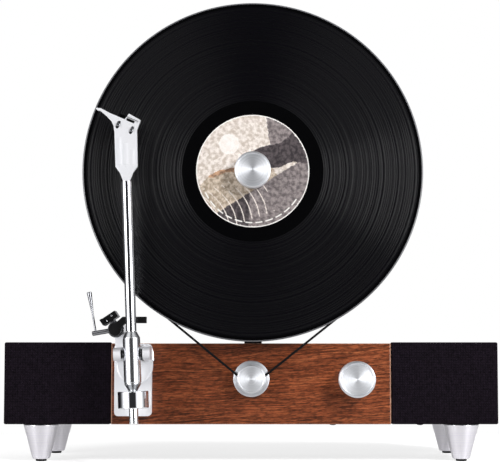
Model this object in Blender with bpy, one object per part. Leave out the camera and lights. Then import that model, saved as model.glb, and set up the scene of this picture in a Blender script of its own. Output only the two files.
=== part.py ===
"""Vertical record player: a walnut cabinet with a speaker at each end, an upright platter and a tonearm.

Lengths are in metres. The model stands on z = 0 and +Y points away from the viewer.
Pieces are placed in the frame of the cabinet's front face: x to the right, y upwards
and z towards the viewer, so a piece behind the face has a negative z.
"""

import math

import bmesh
import bpy
from mathutils import Vector

# General fits
GAP = 0.0003
RUN_GAP = 0.0002
OVERRUN = 0.002
FINE_STEPS = 56
ROUND_STEPS = 24
SMALL_STEPS = 12
CORNER_STEPS = 4
SMOOTH_ANGLE = math.radians(35)
MERGE_DISTANCE = 0.000001
UP_ARM = (math.radians(-90), 0, 0)
SIDEWAYS = (0, math.radians(90), 0)

# Cabinet
CABINET_WIDTH = 0.438
PANEL_WIDTH = 0.2484
CABINET_HEIGHT = 0.0715
CABINET_DEPTH = 0.127
BOARD_THICKNESS = 0.007
FACE_THICKNESS = 0.009
BAFFLE_THICKNESS = 0.006
REAR_THICKNESS = 0.004
PANEL_CHAMFER = 0.001

# Speaker grilles
GRILLE_RISE = 0.001
CLOTH_THICKNESS = 0.0006
CLOTH_CORNER = 0.0015
SLOT_WIDTH = 0.005
SLOT_PITCH = 0.009
SLOT_SIDE_MARGIN = 0.0085
SLOT_END_MARGIN = 0.01125

# Speaker drivers
DRIVER_MARGIN = 0.00345
DRIVER_DEPTH = 0.026
DRIVER_FLANGE = 0.002
DRIVER_LIP = 0.0035
MAGNET_STEP = 0.007
MAGNET_DEPTH = 0.012
CONE_DEPTH = 0.0085
CONE_THICKNESS = 0.0008
DUST_CAP_RADIUS = 0.0075

# Feet
FOOT_HEIGHT = 0.0314
FOOT_TOP_RADIUS = 0.016
FOOT_BOTTOM_RADIUS = 0.0079
FOOT_CHAMFER = 0.0008
FOOT_SIDE_INSET = 0.0303
FOOT_INSET = 0.020
STUD_RADIUS = 0.003
STUD_LENGTH = 0.005
PAD_HEIGHT = 0.0018
PAD_RADIUS = 0.0049

# Record and platter
RECORD_CLEARANCE = 0.00135
RECORD_X = 0.0015
RECORD_RADIUS = 0.15075
RECORD_REAR = 0.0131
RECORD_THICKNESS = 0.0014
RECORD_BEAD_WIDTH = 0.0035
RECORD_BEAD_RISE = 0.0001
RECORD_EDGE = 0.0005
RECORD_HOLE_RADIUS = 0.0038
LABEL_RADIUS = 0.050
LABEL_THICKNESS = 0.0003
LABEL_GAP = 0.0001
MAT_THICKNESS = 0.001
MAT_INSET = 0.002
PLATTER_INSET = 0.00175
PLATTER_THICKNESS = 0.010
PLATTER_RIM_WIDTH = 0.012
PLATTER_WEB_DEPTH = 0.004
PLATTER_HUB_RADIUS = 0.022
SPINDLE_RADIUS = 0.00385
SPINDLE_TIP_RADIUS = 0.0035
SPINDLE_TIP = 0.022
SPINDLE_COLLAR_RADIUS = 0.008
SPINDLE_COLLAR_THICKNESS = 0.0015
CLAMP_RADIUS = 0.01585
CLAMP_LENGTH = 0.012
CLAMP_DISH = 0.0006
EDGE_CHAMFER = 0.0009

# Belt drive
BELT_RADIUS = 0.001
BELT_SIDES = 6
BELT_TOP_STEPS = 48
BELT_LOW_STEPS = 8
GROOVE_DEPTH = 0.0023
GROOVE_FLOOR_WIDTH = 0.0026
GROOVE_FLARE = 0.0006
PULLEY_X = 0.0003
PULLEY_DROP = 0.0313
PULLEY_REAR = 0.0015
PULLEY_FLANGE_RADIUS = 0.016
PULLEY_FLANGE_THICKNESS = 0.003
PULLEY_GROOVE_RADIUS = 0.0041
PULLEY_GROOVE_WIDTH = 0.0036
PULLEY_CAP_RADIUS = 0.0125
PULLEY_CAP_THICKNESS = 0.0045
MOTOR_RADIUS = 0.018
MOTOR_LENGTH = 0.022
MOTOR_SHAFT_RADIUS = 0.0015
MOTOR_SHAFT_TIP = 0.0105
MOTOR_FLOOR = 0.004
SHAFT_HOLE_RADIUS = 0.004

# Column and main bearing
COLUMN_WIDTH = 0.016
COLUMN_DEPTH = 0.016
COLUMN_SETBACK = 0.042
COLUMN_TOP_RISE = 0.016
HOUSING_RADIUS = 0.010
HOUSING_FLANGE_RADIUS = 0.013
HOUSING_FLANGE_THICKNESS = 0.006
HOUSING_FLOOR = 0.003
HOUSING_FRONT_GAP = 0.0008

# Volume control
KNOB_SIDE_INSET = 0.0309
KNOB_DROP = 0.0316
KNOB_RADIUS = 0.016
KNOB_REAR = 0.001
KNOB_LENGTH = 0.016
KNOB_DISH = 0.0008
KNOB_SHAFT_RADIUS = 0.002
KNOB_SHAFT_REACH = 0.022
POT_RADIUS = 0.0085
POT_DEPTH = 0.010
POT_BUSH_RADIUS = 0.0035
POT_BUSH_SETBACK = 0.001

# Power inlet and amplifier board
INLET_WIDTH = 0.014
INLET_HEIGHT = 0.012
INLET_LENGTH = 0.016
INLET_SIDE_INSET = 0.069
INLET_RISE = 0.0322
INLET_BORE_RADIUS = 0.0034
INLET_BORE_DEPTH = 0.009
CIRCUIT_THICKNESS = 0.0016
AMPLIFIER_LENGTH = 0.120
AMPLIFIER_SIDE_INSET = 0.039
AMPLIFIER_MARGIN = 0.005
HEATSINK_WIDTH = 0.030
HEATSINK_HEIGHT = 0.024
HEATSINK_DEPTH = 0.012

# Buttons under the cabinet
BUTTON_FROM_KNOB = 0.0198
BUTTON_FROM_DRIVER = 0.01975
BUTTON_FROM_FOOT = 0.0367
BUTTON_DEPTH = 0.021
BUTTON_RADIUS = 0.0036
BUTTON_RISE = 0.002
BUTTON_FLANGE_RADIUS = 0.005
BUTTON_FLANGE_THICKNESS = 0.001
BUTTON_STEM_RADIUS = 0.0015
BUTTON_STEM_RISE = 0.0046
BUTTON_TRAVEL = 0.001
BUTTON_BOARD_MARGIN = 0.0054
BUTTON_BOARD_DEPTH = 0.018

# Tonearm base
PIVOT_SIDE_INSET = 0.0216
PIVOT_DROP = 0.0091
ARM_LEAN = math.radians(2.1)
ARM_AXIS_DEPTH = 0.032
PARK_SWING = math.radians(31.5)
BASE_WIDTH = 0.033
BASE_HEIGHT = 0.0636
BASE_OFFSET_X = -0.0015
BASE_TOP = 0.0087
BASE_THICKNESS = 0.0057
BASE_CORNER = 0.0034
BASE_SLEEVE_RADIUS = 0.005
NECK_THICKNESS = 0.0042
NECK_SETBACK = 0.0008
NECK_FOOT = 0.002
NECK_WAIST = 0.013
NECK_WAIST_LEFT = 0.0175
NECK_WAIST_RIGHT = 0.0098
BASE_SCREW_RADIUS = 0.0015
BASE_SCREW_HEAD_RADIUS = 0.003
BASE_SCREW_HEAD = 0.002
BASE_SCREW_BITE = 0.0035
BASE_SCREW_DROP = 0.036

# Yoke and tilt bearings
YOKE_WIDTH = 0.032
YOKE_TOP = 0.0063
YOKE_SHOULDER = 0.003
YOKE_DROP = 0.011
YOKE_THICKNESS = 0.0047
YOKE_SPINDLE_RADIUS = 0.003
POST_INNER = 0.0094
POST_RADIUS = 0.00565
TILT_BEARING_RADIUS = 0.004
TILT_BEARING_LENGTH = 0.004
TILT_AXLE_RADIUS = 0.0015

# Pivot block, tube and counterweight
BLOCK_RADIUS = 0.0075
BLOCK_TOP = 0.0192
BLOCK_TOP_CONE = 0.0053
BLOCK_TOP_RADIUS = 0.0047
BLOCK_BOTTOM = 0.0317
BLOCK_BOTTOM_CONE = 0.0059
BLOCK_RING = 0.0004
BLOCK_RING_WIDTH = 0.0012
STUB_RADIUS = 0.00395
STUB_END = 0.0602
STUB_CHAMFER = 0.0005
WEIGHT_RADIUS = 0.0132
WEIGHT_LENGTH = 0.0147
WEIGHT_TRAVEL = 0.010
TUBE_RADIUS = 0.0046
TUBE_TOP = 0.150
SPIGOT_RADIUS = 0.0035
SPIGOT_LENGTH = 0.007

# Headshell, cartridge and stylus
HEADSHELL_LENGTH = 0.0585
HEADSHELL_HALF_WIDTH = 0.0098
HEADSHELL_THICKNESS = 0.003
HEADSHELL_NECK_HALF = 0.003
NECK_PIN_RADIUS = 0.0014
NECK_PIN_LENGTH = 0.006
OFFSET_ANGLE = math.radians(25)
SCREW_SPACING = 0.0127
SCREW_U = 0.0471
SLOT_LENGTH = 0.0074
SLOT_HALF_WIDTH = 0.0014
NOSE_SLOT_LENGTH = 0.0076
NOSE_SLOT_WIDTH = 0.0024
NOSE_SLOT_SHIFT = 0.0021
NOSE_SLOT_REACH = 0.0061
CARTRIDGE_WIDTH = 0.0165
CARTRIDGE_LENGTH = 0.0175
CARTRIDGE_REAR_SHIFT = 0.0005
CARTRIDGE_DEEP_SHARE = 0.72
CARTRIDGE_NOSE_SHARE = 0.45
STYLUS_GAP = 0.0003
STYLUS_WIDTH = 0.006
STYLUS_LENGTH = 0.008
STYLUS_DEPTH = 0.0022
STYLUS_TIP_RADIUS = 0.0006
SCREW_RADIUS = 0.0011
SCREW_HEAD_RADIUS = 0.0019
SCREW_HEAD_HEIGHT = 0.0014
SCREW_BITE = 0.004

# Cueing device and arm rest
CUE_X = -0.0154
CUE_Y = 0.0213
CUE_RADIUS = 0.0072
CUE_FRONT = 0.0192
CUE_BORE_RADIUS = 0.0033
CUE_HEAD_RADIUS = 0.0055
CUE_HEAD_BORE_DEPTH = 0.004
LIFT_STEM_LENGTH = 0.009
LIFT_STEM_RADIUS = 0.003
LIFT_BAR_THICKNESS = 0.006
LIFT_BAR_END = 0.0118
LIFT_BAR_LOW = 0.0266
LIFT_BAR_HEIGHT = 0.0056
LIFT_ELBOW_X = -0.006
CUE_SHAFT_RADIUS = 0.0021
CUE_SHAFT_DEPTH = 0.0110
CUE_SHAFT_END = 0.022
CUE_SHAFT_ANGLE = math.radians(9.7)
HANDLE_REACH = 0.0188
HANDLE_LENGTH = 0.0366
HANDLE_ROD_RADIUS = 0.0009
HANDLE_GRIP_RADIUS = 0.0022
HANDLE_GRIP_SHARE = 0.46
CLIP_DISTANCE = 0.0371
CLIP_LENGTH = 0.015
CLIP_WIDTH = 0.006
CLIP_REAR = 0.010
CLIP_PRONG_FRONT = 0.035
EAR_HALF_WIDTH = 0.0023
CLIP_STEM_RADIUS = 0.002
CUE_FLANK_SHARE = 0.95

# Headshell outline as shares: across by the half width, along by the length from the neck
HEADSHELL_SHARES = (
    (-0.94, 0.215), (-0.94, 0.73), (-1.0, 0.83), (-1.18, 0.90), (-1.62, 0.985), (-2.09, 1.055),
    (-2.42, 1.075), (-2.55, 1.11), (-2.08, 1.10), (-1.25, 1.02), (0.0, 0.92), (0.41, 1.003), (1.42, 0.90),
    (1.07, 0.75), (1.02, 0.205), (0.62, 0.12),
)
NECK_FLANK_SHARE = 0.56
NECK_RISE_SHARE = 0.12

# Places that follow from the sizes above
CABINET_BASE = PAD_HEIGHT + GAP + FOOT_HEIGHT + GAP
CABINET_TOP = CABINET_BASE + CABINET_HEIGHT
HALF_WIDTH = CABINET_WIDTH / 2
GRILLE_WIDTH = HALF_WIDTH - PANEL_WIDTH / 2 - GAP
SLOT_COUNT = int((GRILLE_WIDTH - 2 * SLOT_SIDE_MARGIN - SLOT_WIDTH) / SLOT_PITCH) + 1
FRONT_REACH = ARM_AXIS_DEPTH + WEIGHT_RADIUS
FRONT_Y = FRONT_REACH - (CABINET_DEPTH + FRONT_REACH) / 2
BOX_FRONT = -FACE_THICKNESS - GAP
INNER_HALF = HALF_WIDTH - BOARD_THICKNESS - GAP
INNER_LOW = CABINET_BASE + BOARD_THICKNESS + GAP
INNER_HIGH = CABINET_TOP - BOARD_THICKNESS - GAP
BAFFLE_REAR = BOX_FRONT - BAFFLE_THICKNESS
DRIVER_X = HALF_WIDTH - GRILLE_WIDTH / 2
DRIVER_Z = (INNER_LOW + INNER_HIGH) / 2
DRIVER_RADIUS = (INNER_HIGH - INNER_LOW) / 2 - DRIVER_MARGIN
DRIVER_HOLE_RADIUS = DRIVER_RADIUS - DRIVER_LIP
MAGNET_RADIUS = DRIVER_RADIUS - MAGNET_STEP
FOOT_X = HALF_WIDTH - FOOT_SIDE_INSET
PLATTER_RADIUS = RECORD_RADIUS - PLATTER_INSET
MAT_RADIUS = PLATTER_RADIUS - MAT_INSET
RECORD_HEIGHT = CABINET_TOP + RECORD_CLEARANCE + RECORD_RADIUS
PULLEY_HEIGHT = CABINET_TOP - PULLEY_DROP
KNOB_X = PANEL_WIDTH / 2 - KNOB_SIDE_INSET
KNOB_HEIGHT = CABINET_TOP - KNOB_DROP
PIVOT_X = PIVOT_SIDE_INSET - PANEL_WIDTH / 2
PIVOT_HEIGHT = CABINET_TOP - PIVOT_DROP
INLET_X = HALF_WIDTH - INLET_SIDE_INSET
INLET_Z = CABINET_BASE + INLET_RISE
AMPLIFIER_HIGH_X = HALF_WIDTH - AMPLIFIER_SIDE_INSET
AMPLIFIER_LOW_X = AMPLIFIER_HIGH_X - AMPLIFIER_LENGTH
BUTTON_X = (KNOB_X - BUTTON_FROM_KNOB, min(DRIVER_X - BUTTON_FROM_DRIVER, FOOT_X - BUTTON_FROM_FOOT))
BUTTON_STEM_TOP = INNER_LOW + BUTTON_STEM_RISE
PLATTER_REAR = RECORD_REAR - GAP - MAT_THICKNESS - GAP - PLATTER_THICKNESS
PLATTER_FRONT = PLATTER_REAR + PLATTER_THICKNESS
BELT_PLANE = PULLEY_REAR + PULLEY_FLANGE_THICKNESS + PULLEY_GROOVE_WIDTH / 2
GROOVE_RADIUS = PLATTER_RADIUS - GROOVE_DEPTH
BELT_TOP_RADIUS = GROOVE_RADIUS + BELT_RADIUS + GAP
BELT_LOW_RADIUS = PULLEY_GROOVE_RADIUS + BELT_RADIUS + GAP
RECORD_FRONT = RECORD_REAR + RECORD_THICKNESS + RECORD_BEAD_RISE
LABEL_REAR = RECORD_FRONT + LABEL_GAP
CLAMP_REAR = LABEL_REAR + LABEL_THICKNESS + GAP
STYLUS_FRONT = RECORD_FRONT + STYLUS_GAP
HEADSHELL_REAR = ARM_AXIS_DEPTH - HEADSHELL_THICKNESS / 2
LIFT_FRONT = ARM_AXIS_DEPTH - TUBE_RADIUS - GAP
BASE_FRONT = GAP + BASE_THICKNESS
YOKE_REAR = BASE_FRONT + GAP
YOKE_FRONT = YOKE_REAR + YOKE_THICKNESS
POST_OUTER = YOKE_WIDTH / 2
CUE_REAR = NECK_SETBACK + NECK_THICKNESS + GAP
INLET_INNER_END = -CABINET_DEPTH + INLET_LENGTH

# Colour, roughness and metallic value of each finish
FINISHES = {
    "walnut": ((0.22, 0.075, 0.032), 0.45, 0.0),
    "cloth": ((0.012, 0.009, 0.011), 0.95, 0.0),
    "black_board": ((0.02, 0.02, 0.022), 0.7, 0.0),
    "spun_aluminium": ((0.78, 0.78, 0.80), 0.28, 1.0),
    "cast_aluminium": ((0.70, 0.70, 0.72), 0.35, 1.0),
    "chrome": ((0.86, 0.86, 0.88), 0.06, 1.0),
    "steel": ((0.55, 0.55, 0.57), 0.3, 1.0),
    "brass": ((0.72, 0.52, 0.24), 0.35, 1.0),
    "black_metal": ((0.015, 0.015, 0.017), 0.4, 0.2),
    "black_plastic": ((0.015, 0.015, 0.016), 0.45, 0.0),
    "vinyl": ((0.008, 0.008, 0.009), 0.2, 0.0),
    "paper": ((0.62, 0.56, 0.46), 0.6, 0.0),
    "cone_paper": ((0.05, 0.05, 0.052), 0.9, 0.0),
    "rubber": ((0.012, 0.012, 0.012), 0.8, 0.0),
    "circuit": ((0.02, 0.16, 0.06), 0.5, 0.0),
}


def clear_scene():
    """Remove whatever the open scene holds."""
    for thing in list(bpy.data.objects):
        bpy.data.objects.remove(thing, do_unlink=True)


def finish_material(name, finish):
    """Make the Principled material of one piece."""
    colour, roughness, metallic = FINISHES[finish]
    material = bpy.data.materials.new(name)
    material.use_nodes = True
    shader = material.node_tree.nodes["Principled BSDF"]
    shader.inputs["Base Color"].default_value = (*colour, 1.0)
    shader.inputs["Roughness"].default_value = roughness
    shader.inputs["Metallic"].default_value = metallic
    material.diffuse_color = (*colour, 1.0)
    return material


def add_empty(name, parent=None, at=(0, 0, 0), turn=(0, 0, 0)):
    """Add an empty that holds a frame or a joint's axis."""
    empty = bpy.data.objects.new(name, None)
    bpy.context.scene.collection.objects.link(empty)
    empty.parent = parent
    empty.location = at
    empty.rotation_euler = turn
    return empty


def add_piece(name, bm, finish, parent, at=(0, 0, 0), turn=(0, 0, 0)):
    """Turn a bmesh into a named piece under its parent, with its own material."""
    bmesh.ops.remove_doubles(bm, verts=bm.verts, dist=MERGE_DISTANCE)
    bmesh.ops.recalc_face_normals(bm, faces=bm.faces)
    mesh = bpy.data.meshes.new(name)
    bm.to_mesh(mesh)
    bm.free()
    mesh.shade_smooth()
    mesh.set_sharp_from_angle(angle=SMOOTH_ANGLE)
    piece = bpy.data.objects.new(name, mesh)
    bpy.context.scene.collection.objects.link(piece)
    piece.parent = parent
    piece.location = at
    piece.rotation_euler = turn
    if finish:
        mesh.materials.append(finish_material(name, finish))
    return piece


def turned(name, profile, finish, parent, at=(0, 0, 0), turn=(0, 0, 0), steps=ROUND_STEPS):
    """Turn a profile of (radius, height) points about its own z axis."""
    bm = bmesh.new()
    rings = []
    for radius, height in profile:
        if radius == 0:
            rings.append([bm.verts.new((0, 0, height))])
        else:
            angles = [2 * math.pi * i / steps for i in range(steps)]
            rings.append([bm.verts.new((radius * math.cos(a), radius * math.sin(a), height)) for a in angles])
    closed = profile[0][0] > 0
    pairs = list(zip(rings, rings[1:]))
    if closed:
        pairs.append((rings[-1], rings[0]))
    for lower, upper in pairs:
        for i in range(steps):
            j = (i + 1) % steps
            corners = [lower[i % len(lower)], lower[j % len(lower)], upper[j % len(upper)],
                       upper[i % len(upper)]]
            unique = list(dict.fromkeys(corners))
            if len(unique) > 2:
                bm.faces.new(unique)
    return add_piece(name, bm, finish, parent, at, turn)


def prism(name, outline, low, high, finish, parent, at=(0, 0, 0), turn=(0, 0, 0)):
    """Extrude a flat outline of (x, y) points from z low to z high."""
    bm = bmesh.new()
    bottom = [bm.verts.new((x, y, low)) for x, y in outline]
    face = bm.faces.new(bottom)
    lifted = bmesh.ops.extrude_face_region(bm, geom=[face])
    moved = [item for item in lifted["geom"] if isinstance(item, bmesh.types.BMVert)]
    bmesh.ops.translate(bm, verts=moved, vec=(0, 0, high - low))
    return add_piece(name, bm, finish, parent, at, turn)


def block(name, low, high, finish, parent):
    """Make a box between two corners, with its origin at its centre."""
    middle = [(a + b) / 2 for a, b in zip(low, high)]
    half = [(b - a) / 2 for a, b in zip(low, high)]
    outline = [(-half[0], -half[1]), (half[0], -half[1]), (half[0], half[1]), (-half[0], half[1])]
    return prism(name, outline, -half[2], half[2], finish, parent, at=middle)


def arc(centre, radius, start, end, steps):
    """Points of an arc from one angle to another, both included."""
    angles = [start + (end - start) * i / steps for i in range(steps + 1)]
    return [(centre[0] + radius * math.cos(a), centre[1] + radius * math.sin(a)) for a in angles]


def rounded_rectangle(width, height, radius, centre=(0, 0)):
    """Outline of a rectangle with round corners, anticlockwise."""
    x, y = width / 2 - radius, height / 2 - radius
    quarter = math.pi / 2
    points = []
    for turn, (sx, sy) in enumerate(((1, 1), (-1, 1), (-1, -1), (1, -1))):
        corner = (centre[0] + sx * x, centre[1] + sy * y)
        points += arc(corner, radius, turn * quarter, (turn + 1) * quarter, CORNER_STEPS)
    return points


def as_guide(tool):
    """Hide a cutter or a joining tool, which is no piece of its own."""
    tool.hide_render = True
    tool.display_type = "WIRE"
    return tool


def apply_tool(piece, tool, operation):
    """Add a Boolean modifier that cuts a guide away from a piece, or joins it to the piece."""
    as_guide(tool)
    modifier = piece.modifiers.new(f"{operation.lower()} {tool.name}", "BOOLEAN")
    modifier.operation = operation
    modifier.object = tool


def drill(piece, name, radius, low, high, parent, at=(0, 0, 0), turn=(0, 0, 0), steps=SMALL_STEPS):
    """Cut a round hole along the z axis of the given place."""
    tool = turned(name, [(0, low), (radius, low), (radius, high), (0, high)], None, parent, at, turn, steps)
    apply_tool(piece, tool, "DIFFERENCE")


def build_cabinet(face):
    """Boards of the cabinet, the walnut front panel, the baffle and the rear panel."""
    rear = -CABINET_DEPTH
    half = INNER_HALF
    block("top_board", (-half, INNER_HIGH + GAP, rear), (half, CABINET_TOP, BOX_FRONT), "walnut", face)
    block("bottom_board", (-half, CABINET_BASE, rear), (half, INNER_LOW - GAP, BOX_FRONT), "walnut", face)
    for name, side in (("left_end_panel", -1), ("right_end_panel", 1)):
        edges = sorted((side * (HALF_WIDTH - BOARD_THICKNESS), side * HALF_WIDTH))
        block(name, (edges[0], CABINET_BASE, rear), (edges[1], CABINET_TOP, BOX_FRONT), "walnut", face)
    block("front_baffle", (-half, INNER_LOW, BAFFLE_REAR), (half, INNER_HIGH, BOX_FRONT), "black_board", face)
    block("rear_panel", (-half, INNER_LOW, rear), (half, INNER_HIGH, rear + REAR_THICKNESS), "black_board",
          face)
    build_front_panel(face)


def build_front_panel(face):
    """The walnut panel between the grilles, with a fine chamfer down each end."""
    half = PANEL_WIDTH / 2
    cut = PANEL_CHAMFER
    outline = [(-half, 0), (half, 0), (half, FACE_THICKNESS - cut), (half - cut, FACE_THICKNESS),
               (cut - half, FACE_THICKNESS), (-half, FACE_THICKNESS - cut)]
    # Drawn from above and extruded upwards, so the chamfers run down the panel's ends.
    prism("front_panel", [(x, -z) for x, z in outline], CABINET_BASE, CABINET_TOP, "walnut", face,
          at=(0, 0, -FACE_THICKNESS), turn=UP_ARM)


def drill_cabinet(face):
    """Holes of the boards for feet, buttons, shafts, the column, the drivers and the sockets."""
    objects = bpy.data.objects
    low, high = CABINET_BASE - OVERRUN, CABINET_BASE + BOARD_THICKNESS + OVERRUN
    for index, (x, z) in enumerate(foot_places()):
        drill(objects["bottom_board"], f"foot_hole_{index}", STUD_RADIUS + GAP, low, high, face, (x, 0, z),
              UP_ARM)
    for index, x in enumerate(BUTTON_X):
        drill(objects["bottom_board"], f"button_hole_{index}", BUTTON_RADIUS + GAP, low, high, face,
              (x, 0, -BUTTON_DEPTH), UP_ARM)
    for name, x, z in (("shaft", PULLEY_X, PULLEY_HEIGHT), ("volume", KNOB_X, KNOB_HEIGHT)):
        for board in ("front_panel", "front_baffle"):
            drill(objects[board], f"{name}_hole_in_{board}", SHAFT_HOLE_RADIUS, BAFFLE_REAR - OVERRUN,
                  OVERRUN, face, (x, z, 0))
    for name, side in (("left", -1), ("right", 1)):
        drill(objects["front_baffle"], f"{name}_driver_hole", DRIVER_HOLE_RADIUS, BAFFLE_REAR - OVERRUN,
              OVERRUN, face, (side * DRIVER_X, DRIVER_Z, 0), steps=ROUND_STEPS)
    drill(objects["front_panel"], "sleeve_hole", BASE_SLEEVE_RADIUS + GAP, BOX_FRONT - OVERRUN, OVERRUN, face,
          (PIVOT_X, PIVOT_HEIGHT, 0))
    for board, radius in (("front_panel", BASE_SCREW_RADIUS), ("front_baffle", BASE_SCREW_HEAD_RADIUS)):
        drill(objects[board], f"base_screw_hole_in_{board}", radius + GAP, BAFFLE_REAR - OVERRUN, OVERRUN,
              face, (PIVOT_X, PIVOT_HEIGHT - BASE_SCREW_DROP, 0))
    half_width, half_depth = COLUMN_WIDTH / 2 + GAP, COLUMN_DEPTH / 2 + GAP
    middle = -COLUMN_SETBACK - COLUMN_DEPTH / 2
    slot = block("column_slot", (RECORD_X - half_width, INNER_HIGH - OVERRUN, middle - half_depth),
                 (RECORD_X + half_width, CABINET_TOP + OVERRUN, middle + half_depth), None, face)
    apply_tool(objects["top_board"], slot, "DIFFERENCE")
    half_w, half_h = INLET_WIDTH / 2 + GAP, INLET_HEIGHT / 2 + GAP
    window = block("inlet_window", (INLET_X - half_w, INLET_Z - half_h, -CABINET_DEPTH - OVERRUN),
                   (INLET_X + half_w, INLET_Z + half_h, OVERRUN - CABINET_DEPTH + REAR_THICKNESS), None, face)
    apply_tool(objects["rear_panel"], window, "DIFFERENCE")


def build_grilles(face):
    """A slotted panel and its cloth cover in front of each driver."""
    height = CABINET_HEIGHT + GRILLE_RISE
    middle_z = CABINET_BASE + height / 2
    inset = 2 * (CLOTH_THICKNESS + GAP)
    slot_half = height / 2 - SLOT_END_MARGIN
    for name, side in (("left", -1), ("right", 1)):
        middle = (side * DRIVER_X, middle_z, 0)
        outline = rounded_rectangle(GRILLE_WIDTH - inset, height - inset, CLOTH_CORNER)
        panel = prism(f"{name}_grille_panel", outline, -FACE_THICKNESS, -CLOTH_THICKNESS - GAP,
                      "black_plastic", face, at=middle)
        for index in range(SLOT_COUNT):
            x = middle[0] + (index - (SLOT_COUNT - 1) / 2) * SLOT_PITCH
            slot = block(f"{name}_grille_slot_{index}",
                         (x - SLOT_WIDTH / 2, middle_z - slot_half, -FACE_THICKNESS - OVERRUN),
                         (x + SLOT_WIDTH / 2, middle_z + slot_half, OVERRUN), None, face)
            apply_tool(panel, slot, "DIFFERENCE")
        build_cloth(f"{name}_grille_cloth", height, middle, face)


def build_cloth(name, height, middle, face):
    """Cloth that covers a grille panel's front and wraps its four edges, open at the back."""
    outer = rounded_rectangle(GRILLE_WIDTH, height, CLOTH_CORNER)
    inner = rounded_rectangle(GRILLE_WIDTH - 2 * CLOTH_THICKNESS, height - 2 * CLOTH_THICKNESS, CLOTH_CORNER)
    bm = bmesh.new()
    loops = []
    for outline, z in ((outer, 0), (outer, -FACE_THICKNESS), (inner, -FACE_THICKNESS),
                       (inner, -CLOTH_THICKNESS)):
        loops.append([bm.verts.new((x, y, z)) for x, y in outline])
    bm.faces.new(loops[0])
    bm.faces.new(loops[3])
    for first, second in zip(loops, loops[1:]):
        for i in range(len(first)):
            j = (i + 1) % len(first)
            bm.faces.new((first[i], first[j], second[j], second[i]))
    add_piece(name, bm, "cloth", face, at=middle)


def build_drivers(face):
    """A speaker driver behind each hole of the baffle: a frame with its magnet, and a paper cone."""
    lip = DRIVER_HOLE_RADIUS
    bowl = CONE_DEPTH + 2 * CONE_THICKNESS
    cone = lip - GAP
    for name, side in (("left", -1), ("right", 1)):
        place = (side * DRIVER_X, DRIVER_Z, BAFFLE_REAR - GAP)
        frame = [(0, -DRIVER_DEPTH), (MAGNET_RADIUS, -DRIVER_DEPTH),
                 (MAGNET_RADIUS, MAGNET_DEPTH - DRIVER_DEPTH),
                 (DRIVER_RADIUS, -DRIVER_FLANGE), (DRIVER_RADIUS, 0), (lip, 0), (lip, -DRIVER_FLANGE),
                 (DUST_CAP_RADIUS + DRIVER_LIP, -bowl), (0, -bowl)]
        turned(f"{name}_driver_frame", frame, "black_metal", face, place)
        paper = [(0, -CONE_DEPTH - CONE_THICKNESS), (DUST_CAP_RADIUS, -CONE_DEPTH - CONE_THICKNESS),
                 (cone - DRIVER_FLANGE, -2 * CONE_THICKNESS), (cone, -CONE_THICKNESS - GAP), (cone, -GAP),
                 (cone - DRIVER_FLANGE, -CONE_THICKNESS), (DUST_CAP_RADIUS, -CONE_DEPTH),
                 (DUST_CAP_RADIUS / 2, DRIVER_FLANGE - CONE_DEPTH),
                 (0, DRIVER_FLANGE + CONE_THICKNESS - CONE_DEPTH)]
        turned(f"{name}_speaker_cone", paper, "cone_paper", face, place)


def foot_places():
    """The x and z places of the four feet: front left, front right, rear left, rear right."""
    return [(side * FOOT_X, z) for z in (-FOOT_INSET, FOOT_INSET - CABINET_DEPTH) for side in (-1, 1)]


def build_feet(face):
    """Four turned cones, each with a stud into the bottom board and a rubber pad below."""
    names = ("front_left", "front_right", "rear_left", "rear_right")
    for name, (x, z) in zip(names, foot_places()):
        pad = [(0, 0), (PAD_RADIUS, 0), (PAD_RADIUS, PAD_HEIGHT), (0, PAD_HEIGHT)]
        turned(f"{name}_foot_pad", pad, "rubber", face, (x, 0, z), UP_ARM, SMALL_STEPS)
        low = PAD_HEIGHT + GAP
        high = low + FOOT_HEIGHT
        cone = [(0, low), (FOOT_BOTTOM_RADIUS - FOOT_CHAMFER, low), (FOOT_BOTTOM_RADIUS, low + FOOT_CHAMFER),
                (FOOT_TOP_RADIUS, high - FOOT_CHAMFER), (FOOT_TOP_RADIUS - FOOT_CHAMFER, high),
                (STUD_RADIUS, high), (STUD_RADIUS, high + STUD_LENGTH), (0, high + STUD_LENGTH)]
        turned(f"{name}_foot", cone, "spun_aluminium", face, (x, 0, z), UP_ARM)


def build_column(face):
    """The column that stands inside the cabinet, and the main bearing's housing on its front."""
    half = COLUMN_WIDTH / 2
    top = RECORD_HEIGHT + COLUMN_TOP_RISE - half
    outline = [(-half, INNER_LOW), (half, INNER_LOW)] + arc((0, top), half, 0, math.pi, 2 * CORNER_STEPS)
    prism("column", outline, -COLUMN_SETBACK - COLUMN_DEPTH, -COLUMN_SETBACK, "black_metal", face,
          at=(RECORD_X, 0, 0))
    rear = -COLUMN_SETBACK + GAP
    bore = SPINDLE_RADIUS + RUN_GAP
    front = PLATTER_REAR - GAP - SPINDLE_COLLAR_THICKNESS - HOUSING_FRONT_GAP
    flange = rear + HOUSING_FLANGE_THICKNESS
    housing = [(0, rear), (HOUSING_FLANGE_RADIUS, rear), (HOUSING_FLANGE_RADIUS, flange),
               (HOUSING_RADIUS, flange), (HOUSING_RADIUS, front), (bore, front), (bore, rear + HOUSING_FLOOR),
               (0, rear + HOUSING_FLOOR)]
    turned("bearing_housing", housing, "steel", face, at=(RECORD_X, RECORD_HEIGHT, 0))


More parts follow.
